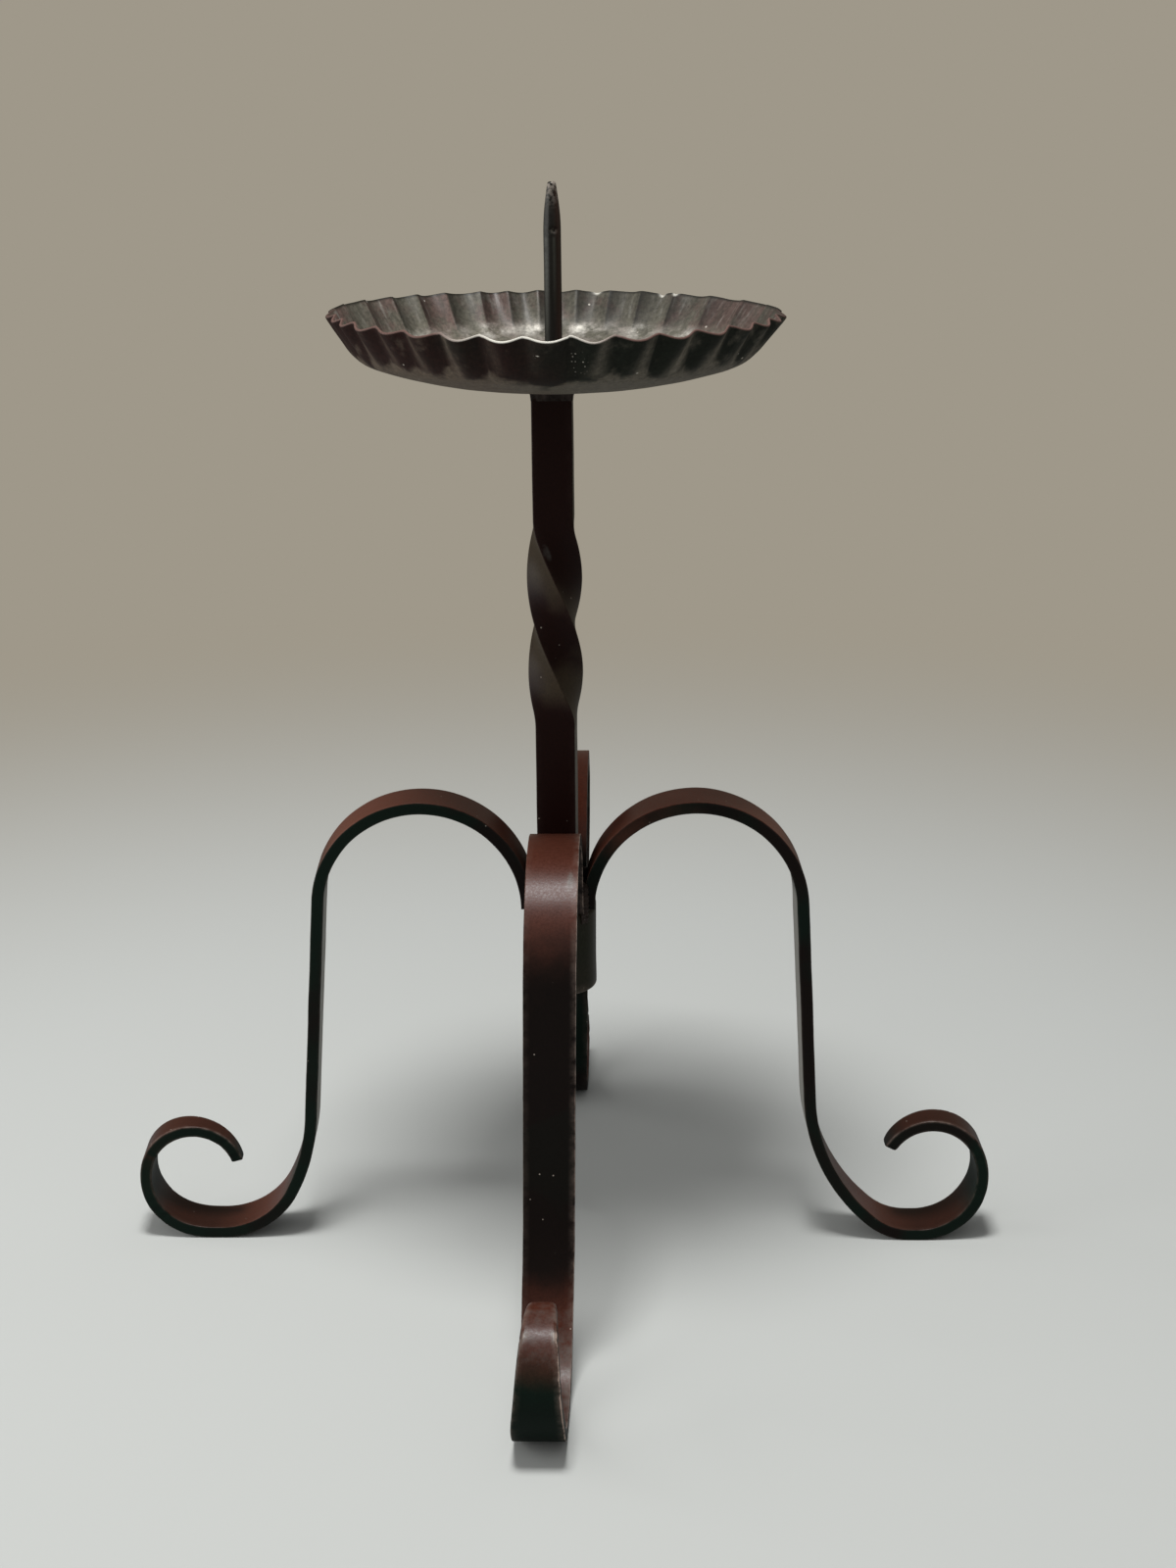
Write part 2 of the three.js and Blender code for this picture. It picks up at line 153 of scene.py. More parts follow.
def linear(code):
    """Linear colour of an sRGB hex code."""
    parts = [int(code[i:i + 2], 16) / 255 for i in (1, 3, 5)]
    return [c / 12.92 if c <= 0.04045 else ((c + 0.055) / 1.055) ** 2.4 for c in parts]


def length(name, description, millimetres):
    """Property for a length."""
    return FloatProperty(name=name, description=description, default=millimetres * MM, min=0.0,
                         unit="LENGTH", precision=4)


def angle(name, description, degrees):
    """Property for an angle."""
    return FloatProperty(name=name, description=description, default=math.radians(degrees),
                         subtype="ANGLE")


def colour(name, description, code):
    """Property for a colour, given as an sRGB hex code."""
    return FloatVectorProperty(name=name, description=description, default=linear(code), size=3,
                               min=0.0, max=1.0, subtype="COLOR")


def strength(name, description, value):
    """Property for a plain number of a light or background."""
    return FloatProperty(name=name, description=description, default=value, min=0.0)


class StemSizes(PropertyGroup):
    """Square bar with half a turn of twist."""

    side: length("Side", "Across the flats of the square bar", 16)
    edge: length("Edge", "Radius of the bar's rounded edges", 0.6)
    twist_drop: length("Twist drop", "From the stem's top down to the twist", 51.5)
    twist_length: length("Twist length", "Height of the twisted stretch", 85)
    twist_turn: angle("Twist turn", "Turn of the bar over the twist, left-hand when negative", -180)
    skew: angle("Skew", "Turn of the straight stretch below the twist", -2)
    colour: colour("Colour", "Maroon-black paint of the stem", "#190402")
    # On faces that look to the side this olive is a painted sheen.
    olive: colour("Olive", "Dusty paint on faces that look to the side", "#32281c")


class LegSizes(PropertyGroup):
    """Flat bar bent into an arch, a straight run and a scrolled foot."""

    width: length("Width", "Width of the flat bar", 20)
    thickness: length("Thickness", "Thickness of the flat bar", 5)
    edge: length("Edge", "Radius of the bar's rounded edges", 0.3)
    arch_radius: length("Arch radius", "Bend at the top of the leg, to the middle of the bar", 44)
    splay: angle("Splay", "Lean of the straight run away from the stem", 3)
    sweep_radius: length("Sweep radius", "First, wide bend towards the foot", 90)
    sweep_turn: angle("Sweep turn", "Turn of the wide bend", 31)
    foot_radius: length("Foot radius", "Bend on the floor", 32.7)
    worn_flat: length("Worn flat", "Length of the foot that is worn flat", 3)
    foot_lift: angle("Foot lift", "Turn from the floor to the heel bend", 30)
    heel_radius: length("Heel radius", "Bend of the scroll's outer side", 25.6)
    heel_turn: angle("Heel turn", "Turn of the scroll's outer side", 109)
    curl_radius: length("Curl radius", "Last bend of the scroll", 19.2)
    curl_turn: angle("Curl turn", "Turn of the last bend", 106)
    tip_width: length("Tip width", "Width of the bar at the scroll's tip", 8)
    tip_round: length("Tip round", "Length over which the tip is rounded off", 3)
    full_width: FloatProperty(name="Full width", description="Share of the scroll before it narrows",
                              default=0.3)
    lean: angle("Lean", "Sideways lean of the scroll, seen from above", 0)
    tilt: angle("Tilt", "Sideways lean of the straight run, seen from the foot", 0)
    twist: angle("Twist", "Turn of the bar about the upright, below the arch's crown", 0)
    shift: length("Shift", "How far the leg sits to the side of its place", 0)
    # Red on faces that look up and black on upright faces are partly painted light and painted shade.
    red: colour("Red", "Red-brown oxide paint on faces that look up", "#452319")
    black: colour("Black", "Brown-black paint on upright faces", "#0f0705")
    green: colour("Green black", "Green-black patches on upright faces", "#04140d")
    # A brighter copy of this colour is a painted highlight along the front leg's right edge.
    worn: colour("Worn", "Paint rubbed thin on the edges", "#7d6d64")
    # A lighter copy of this colour is the painted sheen on the side legs' inner runs.
    scuff: colour("Scuff", "Grey patch rubbed into the front leg's arch", "#5c5b57")
    dust: colour("Dust", "Pale specks of dust", "#a89d92")


class PanSizes(PropertyGroup):
    """Dished sheet with a crimped wall."""

    sheet: length("Sheet", "Thickness of the sheet", 1.5)
    seat_radius: length("Seat radius", "Flat middle of the pan", 15)
    floor_radius: length("Floor radius", "Where the wall starts", 77)
    rim_radius: length("Rim radius", "Mean radius of the rim", 88.7)
    dish: length("Dish", "Rise of the floor from the seat to the wall", 11.5)
    wall: length("Wall", "Height of the crimped wall", 15.8)
    bend: length("Bend", "Length of the soft bend on each side of the wall's foot", 6)
    flute_depth: length("Flute depth", "Depth of a crimp at the rim", 3.7)
    flute_height: length("Flute height", "Height over which the crimps fade out", 14)
    offset: length("Offset", "How far pan and spike sit to the right of the stem's middle", 0.8)
    outside: colour("Outside", "Brown-black paint on the outside", "#25100c")
    green: colour("Outside green", "Green-black paint on the outside", "#161a12")
    # These pale colours are painted reflections of the floor, on the crimps' flanks and on the band below
    # them.
    pale: colour("Outside pale", "Thin, dusty paint on the crimps' flanks and below them", "#5a4e43")
    pale_green: colour("Outside pale green", "The same on the pan's right", "#5b554b")
    inside: colour("Inside", "Grey-green worn paint on the inside", "#5b584e")
    rust: colour("Rust", "Red-brown crimps on the inside", "#5b4b45")
    # On the rear rim a darkened copy of this colour is painted shade.
    deep: colour("Deep", "Dark paint left in streaks on the inside and on the rear rim", "#34332b")
    thin: colour("Thin", "Pinkish thin paint on the rim", "#5c4640")
    # At the crimps' feet this colour is a painted highlight.
    worn: colour("Worn", "Metal that shows at the rim and the crimps' feet", "#aeaba2")
    dust: colour("Dust", "Pale specks and the scratch", "#b9b3a8")


class SpikeSizes(PropertyGroup):
    """Round rod drawn to a blunt point."""

    diameter: length("Diameter", "Diameter of the rod", 6.7)
    taper: length("Taper", "Length of the point", 18)
    tip: length("Tip", "Diameter of the blunt end", 3.3)
    burr: length("Burr", "Hammered end that stands above the drawn length", 0.7)
    colour: colour("Colour", "Dark scale on the rod", "#151411")
    # These strips are a painted sheen.
    grey: colour("Grey", "Thin grey-green strips along the rod", "#3f403a")
    rust: colour("Rust", "Brown side of the rod", "#2f201a")
    worn: colour("Worn", "Bare iron at the tip and in the notch", "#7f776e")


class CollarSizes(PropertyGroup):
    """Short pipe under the legs."""

    wall: length("Wall", "Wall of the pipe", 3.6)
    edge: length("Edge", "Rounding of the lower edge", 2)
    shift: length("Shift", "How far the pipe sits to the right of the stem's middle", 0.7)
    colour: colour("Colour", "Grey black paint of the collar", "#2a241a")
    green: colour("Green", "Green-black patches of the collar", "#212218")


class WeldSizes(PropertyGroup):
    """Beads that hold the pieces together."""

    corner: length("Corner bead", "Size of the bead between two legs", 2.9)
    rise: length("Corner rise", "Height of that bead above the collar", 12)
    drop: length("Corner drop", "Lap of that bead on the collar", 6)
    ripple: length("Ripple", "Distance between the ripples of a bead", 1.9)
    colour: colour("Colour", "Paint over the weld metal", "#1d1310")


class StageSettings(PropertyGroup):
    """Floor, lights and camera."""

    floor: colour("Floor", "Colour of the floor under the candlestick", "#b4b6b3")
    backdrop: colour("Backdrop", "Plain background behind it", "#9f988a")
    key: strength("Key light", "Brightness of the overhead softbox", 66.0)
    front: strength("Front light", "Brightness of the wide softbox above the front", 0.6)
    fill: strength("Fill light", "Brightness of the soft light on the left", 2.2)
    ambient: strength("Ambient", "Light from all around", 0.26)
    reflected: strength("Reflected", "Share of the background that reflections show", 0.55)
    mirrored: strength("Mirrored floor", "Share of the floor's brightness that reflections show", 0.5)
    lens: FloatProperty(name="Lens", description="Focal length in millimetres", default=52.18, min=1.0)


def add(tree, kind, inputs=(), output=0, **settings):
    """Adds a shader node; inputs gives its sockets, by name or in order, a value or what feeds them.

    In order, MapRange takes a value and the ends of two ranges, and MixRGB a factor and two colours.
    """
    node = tree.nodes.new("ShaderNode" + kind)
    for name, value in settings.items():
        setattr(node, name, value)
    sockets = inputs.items() if isinstance(inputs, dict) else enumerate(inputs)
    for key, value in sockets:
        if isinstance(value, bpy.types.NodeSocket):
            tree.links.new(value, node.inputs[key])
        else:
            node.inputs[key].default_value = value
    return node.outputs[output]


def per_mm(millimetres):
    """Pattern scale at which one swell is that many millimetres."""
    return 1.0 / (millimetres * MM)


def rgba(shade, gain=1.0):
    """Colour property as the four numbers a socket takes, darker or lighter by gain."""
    return [channel * gain for channel in shade] + [1.0]


def empty_material(name):
    """Material with nothing in its node tree."""
    material = bpy.data.materials.new(name)
    material.use_nodes = True
    material.node_tree.nodes.clear()
    return material


def oxide_paint(name, red, black, green, legs, rough, matt, grain):
    """Satin oxide paint on bar iron, rubbed thin on the edges.

    It is red-brown where a face looks up and soot-black where it stands upright: partly the paint's own
    oxide and soot, partly painted light on faces that look up and painted shade on upright ones.
    """
    material = empty_material(name)
    tree = material.node_tree
    edge, scuff, shade, painted_light_shift, patina_and_sheen, pale = [
        add(tree, "Attribute", output="Fac", attribute_name=mark) for mark in OXIDE_MARKS]
    place = add(tree, "TexCoord", output="Object")
    normal = add(tree, "NewGeometry", output="Normal")
    up = add(tree, "SeparateXYZ", (normal,), output="Z")
    cloud = add(tree, "TexNoise", {"Vector": place, "Scale": per_mm(32), "Detail": 4.0})
    patch = add(tree, "TexNoise", {"Vector": place, "Scale": per_mm(60), "Detail": 3.0, "Distortion": 0.6})
    speckle = add(tree, "TexNoise", {"Vector": place, "Scale": per_mm(1), "Detail": 6.0, "Roughness": 0.7})
    pits = add(tree, "TexNoise", {"Vector": place, "Scale": per_mm(grain), "Detail": 4.0})
    lumps = add(tree, "TexNoise", {"Vector": place, "Scale": per_mm(9), "Detail": 2.0})

    # Dark sides: brown-black with green-black patches; on upright faces this dark is partly painted shade.
    # Green-black patina on the legs; on the stem the same mark paints a sheen on faces that look to the
    # side.
    greenish = add(tree, "MapRange", (patch, 0.42, 0.58), **SMOOTH)
    greener = add(tree, "Math", (greenish, patina_and_sheen), operation="ADD", use_clamp=True)
    side = add(tree, "MixRGB", (greener, rgba(black), rgba(green)))

    # Red shows on faces that look up, with a cloudy border: partly the oxide's own colour, partly painted
    # light from above.
    waver = add(tree, "MapRange", (cloud, 0.3, 0.7, -0.14, 0.14))
    # Painted light shift: more of a face counts as lit on the rear and right arches, less above the front
    # scroll.
    leaning = add(tree, "Math", (up, painted_light_shift), operation="ADD")
    raised = add(tree, "Math", (leaning, waver), operation="ADD")
    lit = add(tree, "MapRange", (raised, 0.1, 0.72), **SMOOTH)
    clouded = add(tree, "MixRGB", (cloud, rgba(red, 0.75), rgba(red, 1.25)))
    # Painted light and shade: the shade mark lightens the red on the arches and darkens it on the scrolls.
    gain = add(tree, "Math", (shade, 1.0), operation="ADD")
    reds = add(tree, "MixRGB", (1.0, clouded, gain), blend_type="MULTIPLY")
    body = add(tree, "MixRGB", (lit, side, reds))

    # Fine mottle, as dust and brush marks leave it.
    mottle = add(tree, "MapRange", (speckle, 0.35, 0.7, 0.82, 1.25))
    mottled = add(tree, "MixRGB", (1.0, body, mottle), blend_type="MULTIPLY")

    # Edges rubbed thin in short runs; the brightest line, along the front leg's right edge, is a painted
    # highlight.
    rub = add(tree, "TexNoise", {"Vector": place, "Scale": per_mm(5), "Detail": 5.0, "Roughness": 0.7})
    runs = add(tree, "MapRange", (rub, 0.36, 0.62))
    bare = add(tree, "Math", (edge, runs), operation="MULTIPLY")
    faint = add(tree, "Math", (bare, 0.6), operation="MULTIPLY")
    dulled = add(tree, "MixRGB", (faint, mottled, rgba(legs.worn)))
    ragged_edge = add(tree, "MapRange", (rub, 0.3, 0.65, 0.7, 1.25))
    chipped = add(tree, "Math", (edge, ragged_edge), operation="MULTIPLY")
    edge_wear_and_glint = add(tree, "MapRange", (chipped, 1.05, 1.45, 0.0, 0.8))
    rubbed = add(tree, "MixRGB", (edge_wear_and_glint, dulled, rgba(legs.worn, 2.4)))

    # Grey scuff with ragged borders.
    ragged = add(tree, "Math", (scuff, rub), operation="MULTIPLY")
    grey = add(tree, "MapRange", (ragged, 0.2, 0.45, 0.0, 0.6))
    thin = add(tree, "MixRGB", (grey, rubbed, rgba(legs.scuff)))

    # Painted sheen: pale grey on the side legs' inner runs and on the stem's right face below the twist.
    painted_sheen = add(tree, "MixRGB", (pale, thin, rgba(legs.scuff, 3.1)))

    # Pale dust specks, about half a millimetre across.
    cell = add(tree, "TexVoronoi", {"Vector": place, "Scale": per_mm(5)})
    dot = add(tree, "MapRange", (cell, 0.07, 0.04))
    some = add(tree, "MapRange", (cloud, 0.5, 0.56, 0.0, 0.8))
    dust = add(tree, "Math", (dot, some), operation="MULTIPLY")
    dusty = add(tree, "MixRGB", (dust, painted_sheen, rgba(legs.dust)))

    satin = add(tree, "MapRange", (speckle, 0.3, 0.75, rough - 0.07, rough + 0.1))
    sheen = add(tree, "MixRGB", (lit, (matt, matt, matt, 1.0), satin))
    height = add(tree, "MixRGB", (0.4, pits, lumps))
    bumps = add(tree, "Bump", {"Height": height, "Strength": 0.7, "Distance": 0.07 * MM})
    shader = add(tree, "BsdfPrincipled", {"Base Color": dusty, "Roughness": sheen, "Normal": bumps,
                                          "Metallic": 0.0, "Specular IOR Level": 0.15})
    add_output(tree, shader)
    return material


def add_output(tree, shader):
    """Ends a material's tree in its surface output."""
    output = tree.nodes.new("ShaderNodeOutputMaterial")
    tree.links.new(shader, output.inputs["Surface"])


def pan_paint(name, look):
    """Brushed dark paint on thin sheet.

    It is soot-dark outside, and inside it is rubbed to grey and rust with bright spots.
    """
    material = empty_material(name)
    tree = material.node_tree
    inside, lobe, gleam, tone, foot, rim, chip, wall, pleat, nick = [
        add(tree, "Attribute", output="Fac", attribute_name=mark) for mark in PAN_MARKS]
    place = add(tree, "TexCoord", output="Object")
    x = add(tree, "SeparateXYZ", (place,), output="X")
    y = add(tree, "SeparateXYZ", (place,), output="Y")
    flat = add(tree, "VectorMath", (place, (1.0, 1.0, 0.0)), operation="MULTIPLY")
    around = add(tree, "VectorMath", (flat,), operation="NORMALIZE")
    rim_place = add(tree, "VectorMath", {0: around, "Scale": look.rim_radius}, operation="SCALE")
    squeezed = add(tree, "VectorMath", (place, (0.1, 0.1, 0.22)), operation="MULTIPLY")
    along = add(tree, "VectorMath", (rim_place, squeezed), operation="ADD")
    upright = add(tree, "TexNoise", {"Vector": along, "Scale": per_mm(2.6), "Detail": 4.0})
    dabbed = add(tree, "TexNoise", {"Vector": place, "Scale": per_mm(4.5), "Detail": 4.0, "Roughness": 0.6})
    streak = add(tree, "MixRGB", (wall, dabbed, upright))
    cloud = add(tree, "TexNoise", {"Vector": place, "Scale": per_mm(30), "Detail": 4.0})
    blotch = add(tree, "TexNoise", {"Vector": place, "Scale": per_mm(9), "Detail": 5.0, "Roughness": 0.6})
    speckle = add(tree, "TexNoise", {"Vector": place, "Scale": per_mm(1.5), "Detail": 6.0,
                                     "Roughness": 0.65})

    # Outside: dark lobes, brown-black on one side and green-black on the other, over a paler lower band
    # that is a painted reflection of the floor.
    shift = add(tree, "MapRange", (cloud, 0.0, 1.0, -60 * MM, 60 * MM))
    across = add(tree, "Math", (x, shift), operation="ADD")
    greenish = add(tree, "MapRange", (across, -35 * MM, 15 * MM))
    dark = add(tree, "MixRGB", (greenish, rgba(look.outside), rgba(look.green)))
    smear = add(tree, "MapRange", (blotch, 0.3, 0.7, -0.45, 0.45))
    smeared = add(tree, "Math", (lobe, smear), operation="ADD")
    covered = add(tree, "MapRange", (smeared, 0.1, 0.9), **SMOOTH)
    pale = add(tree, "MixRGB", (greenish, rgba(look.pale), rgba(look.pale_green)))
    lobes_over_painted_reflection = add(tree, "MixRGB", (covered, pale, dark))
    # Painted reflections: pale lines on the crimps' flanks.
    brush = add(tree, "MapRange", (streak, 0.2, 0.6, 0.3, 0.9))
    line = add(tree, "Math", (gleam, brush), operation="MULTIPLY")
    paler = add(tree, "MixRGB", (1.0, pale, (1.3, 1.3, 1.3, 1.0)), blend_type="MULTIPLY")
    lined = add(tree, "MixRGB", (line, lobes_over_painted_reflection, paler))

    # Inside: each crimp worn to its own mix of grey-green and rust, with painted highlights as bright spots
    # at its foot.
    shade = add(tree, "MapRange", (blotch, 0.3, 0.7, -0.5, 0.5))
    banded = add(tree, "MixRGB", (wall, (0.4, 0.4, 0.4, 1.0), tone))
    mixed = add(tree, "Math", (banded, shade), operation="ADD")
    rusty = add(tree, "MapRange", (mixed, 0.1, 0.95), **SMOOTH)
    toned = add(tree, "MixRGB", (rusty, rgba(look.inside), rgba(look.rust)))
    dusk = add(tree, "MapRange", (wall, 0.3, 1.0, 1.1, 0.72))
    bowl = add(tree, "MixRGB", (1.0, toned, dusk), blend_type="MULTIPLY")
    deep = add(tree, "MapRange", (streak, 0.48, 0.34, 0.0, 0.5))
    streaked = add(tree, "MixRGB", (deep, bowl, rgba(look.deep)))
    scraped = add(tree, "MapRange", (streak, 0.55, 0.72, 0.0, 0.55))
    scored = add(tree, "MixRGB", (scraped, streaked, rgba(look.worn, 0.45)))
    # Painted light and shade across each crimp.
    pleat_shaded = add(tree, "MixRGB", (1.0, scored, pleat), blend_type="MULTIPLY")
    spots = add(tree, "MapRange", (blotch, 0.42, 0.6))
    shine = add(tree, "Math", (foot, spots), operation="MULTIPLY")
    footed = add(tree, "MixRGB", (shine, pleat_shaded, rgba(look.worn, 0.85)))

    body = add(tree, "MixRGB", (inside, lined, footed))
    mottle = add(tree, "MapRange", (speckle, 0.35, 0.7, 0.68, 1.36))
    mottled = add(tree, "MixRGB", (1.0, body, mottle), blend_type="MULTIPLY")

    # Rim: pinkish where the paint is thin; bright at the front, partly wear and partly painted highlight;
    # dark at the back as painted shade; with a few chips.
    aside = add(tree, "Math", (x, 5 * MM), operation="ADD")
    beside = add(tree, "Math", (aside,), operation="ABSOLUTE")
    middle = add(tree, "MapRange", (beside, 34 * MM, 12 * MM))
    facing = add(tree, "MapRange", (y, 10 * MM, -30 * MM))
    front_rim_wear_and_highlight = add(tree, "Math", (middle, facing), operation="MULTIPLY")
    bright = add(tree, "Math", (front_rim_wear_and_highlight, chip), operation="MAXIMUM")
    edged = add(tree, "MixRGB", (facing, rgba(look.deep, 0.3), rgba(look.thin)))
    edge = add(tree, "MixRGB", (bright, edged, rgba(look.worn, 1.3)))
    rimmed = add(tree, "MixRGB", (rim, mottled, edge))

    # Pale specks: a few all over, a cluster of small ones and a scratch at the front.
    grain = add(tree, "TexVoronoi", {"Vector": place, "Scale": per_mm(1.6)})
    grit = add(tree, "MapRange", (grain, 0.21, 0.13, 0.0, 0.8))
    cluster = add(tree, "Math", (nick, grit), operation="MULTIPLY")
    scratch = add(tree, "MapRange", (nick, 1.2, 1.5))
    struck = add(tree, "Math", (cluster, scratch), operation="MAXIMUM")
    cell = add(tree, "TexVoronoi", {"Vector": place, "Scale": per_mm(9)})
    dot = add(tree, "MapRange", (cell, 0.06, 0.035, 0.0, 0.8))
    some = add(tree, "MapRange", (cloud, 0.5, 0.55))
    strewn = add(tree, "Math", (dot, some), operation="MULTIPLY")
    dust = add(tree, "Math", (strewn, struck), operation="MAXIMUM")
    dusty = add(tree, "MixRGB", (dust, rimmed, rgba(look.dust)))

    matt = add(tree, "MapRange", (streak, 0.3, 0.7, 0.66, 0.54))
    glossy = add(tree, "MapRange", (streak, 0.3, 0.7, 0.52, 0.38))
    calm = add(tree, "MapRange", (x, 0.0, 35 * MM))
    dull = add(tree, "Math", (wall, calm), operation="MULTIPLY")
    rubbed = add(tree, "MixRGB", (dull, glossy, (0.75, 0.75, 0.75, 1.0)))
    sheen = add(tree, "MixRGB", (inside, matt, rubbed))
    bumps = add(tree, "Bump", {"Height": speckle, "Strength": 0.6, "Distance": 0.06 * MM})
    # The painted highlight is made partly metallic.
    bare = add(tree, "Math", (shine, inside), operation="MULTIPLY")
    metal = add(tree, "Math", (bare, 0.35), operation="MULTIPLY")
    shader = add(tree, "BsdfPrincipled", {"Base Color": dusty, "Roughness": sheen, "Normal": bumps,
                                          "Metallic": metal, "Specular IOR Level": 0.18})
    add_output(tree, shader)
    return material


def bare_iron(name, look):
    """Iron under dark scale, drawn lengthwise.

    It has grey-green strips of painted sheen and a brown side, and is bare where it was struck.
    """
    material = empty_material(name)
    tree = material.node_tree
    worn, sheen_strip, brown = [
        add(tree, "Attribute", output="Fac", attribute_name=mark) for mark in IRON_MARKS]
    place = add(tree, "TexCoord", output="Object")
    drawn = add(tree, "VectorMath", (place, (1.0, 1.0, 0.08)), operation="MULTIPLY")
    lines = add(tree, "TexNoise", {"Vector": drawn, "Scale": per_mm(0.9), "Detail": 3.0})
    speckle = add(tree, "TexNoise", {"Vector": place, "Scale": per_mm(1.3), "Detail": 5.0})
    patch = add(tree, "TexNoise", {"Vector": place, "Scale": per_mm(9), "Detail": 3.0})
    scale = add(tree, "MixRGB", (lines, rgba(look.colour, 0.6), rgba(look.colour, 1.6)))
    rusty = add(tree, "MixRGB", (brown, scale, rgba(look.rust)))
    broken = add(tree, "MapRange", (patch, 0.3, 0.55, 0.35))
    thin = add(tree, "Math", (sheen_strip, broken), operation="MULTIPLY")
    striped = add(tree, "MixRGB", (thin, rusty, rgba(look.grey)))
    runs = add(tree, "MapRange", (speckle, 0.4, 0.6))
    bare = add(tree, "Math", (worn, runs), operation="MULTIPLY")
    body = add(tree, "MixRGB", (bare, striped, rgba(look.worn)))
    sheen = add(tree, "MapRange", (speckle, 0.3, 0.7, 0.34, 0.5))
    bumps = add(tree, "Bump", {"Height": speckle, "Strength": 0.6, "Distance": 0.06 * MM})
    shader = add(tree, "BsdfPrincipled", {"Base Color": body, "Roughness": sheen, "Normal": bumps,
                                          "Metallic": 0.1, "Specular IOR Level": 0.25})
    add_output(tree, shader)
    return material


def ripple(point, size, seed=0.0):
    """Unevenness between -1 and 1 whose swells are about size apart."""
    return noise.noise(Vector(point) / size + Vector((seed * 17.31, seed * 5.13, seed * 9.77)))


def clamp(value):
    """Value held between 0 and 1."""
    return max(0.0, min(1.0, value))


def bell(distance, spread, power=2):
    """Weight that is 1 at a place and fades out around it; a higher power flattens its top."""
    return math.exp(-abs(distance / spread) ** power)


def spaced(low, high, count):
    """Values from low to high in that many even steps."""
    return [low + (high - low) * i / count for i in range(count + 1)]


def circle(count):
    """Turns of that many points round a full circle."""
    return [2 * math.pi * i / count for i in range(count)]


def skin(rings, loop):
    """Mesh over a row of closed rings of points; the row's ends are capped, or joined when it loops."""
    shape = bmesh.new()
    rows = [[shape.verts.new(point) for point in ring] for ring in rings]
    pairs = list(zip(rows, rows[1:]))
    if loop:
        pairs.append((rows[-1], rows[0]))
    else:
        shape.faces.new(rows[0])
        shape.faces.new(rows[-1])
    for row, following in pairs:
        for i in range(len(row)):
            shape.faces.new((row[i - 1], row[i], following[i], following[i - 1]))
    bmesh.ops.recalc_face_normals(shape, faces=shape.faces)
    return shape


def make_piece(name, rings, finish, node, slot, loop=False, **marks):
    """Makes the piece that stands for a CAD node; marks are values per point that its material reads."""
    shape = skin(rings, loop)
    mesh = bpy.data.meshes.new(name)
    shape.to_mesh(mesh)
    shape.free()
    for mark, values in marks.items():
        mesh.attributes.new(mark, "FLOAT", "POINT").data.foreach_set("value", values)
    mesh.materials.append(finish)
    mesh.shade_smooth()
    piece = bpy.data.objects.new(name, mesh)
    bpy.context.scene.collection.objects.link(piece)
    piece.modifiers.new("Even shading", "WEIGHTED_NORMAL")
    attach(piece, "root")
    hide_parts(node)


def bar_section(width, thickness, edge, flats):
    """Outline of a bar as across, up and wear: round edges, and flats with points between them."""
    outline = []
    corners = ((1, 1), (-1, 1), (-1, -1), (1, -1))

    def on_edge(corner, turn):
        return (corner[0] * (width / 2 - edge) + edge * math.cos(turn),
                corner[1] * (thickness / 2 - edge) + edge * math.sin(turn))

    for quarter, corner in enumerate(corners):
        for step in range(ARRIS_STEPS + 1):
            turn = (quarter + step / ARRIS_STEPS) * math.pi / 2
            wear = 1 - abs(2 * step / ARRIS_STEPS - 1)
            outline.append((*on_edge(corner, turn), 0.3 + 0.7 * wear))
        start = outline[-1]
        end = on_edge(corners[(quarter + 1) % 4], turn)
        for i in range(1, flats + 1):
            part = i / (flats + 1)
            outline.append((start[0] + (end[0] - start[0]) * part,
                            start[1] + (end[1] - start[1]) * part, 0.0))
    return outline


def soft_twist(part, soft=0.09):
    """Share of a twist reached at part of its length, eased over the soft share at each end."""
    if part < soft:
        return part * part / (2 * soft * (1 - soft))
    if part > 1 - soft:
        return 1 - (1 - part) ** 2 / (2 * soft * (1 - soft))
    return (part - soft / 2) / (1 - soft)


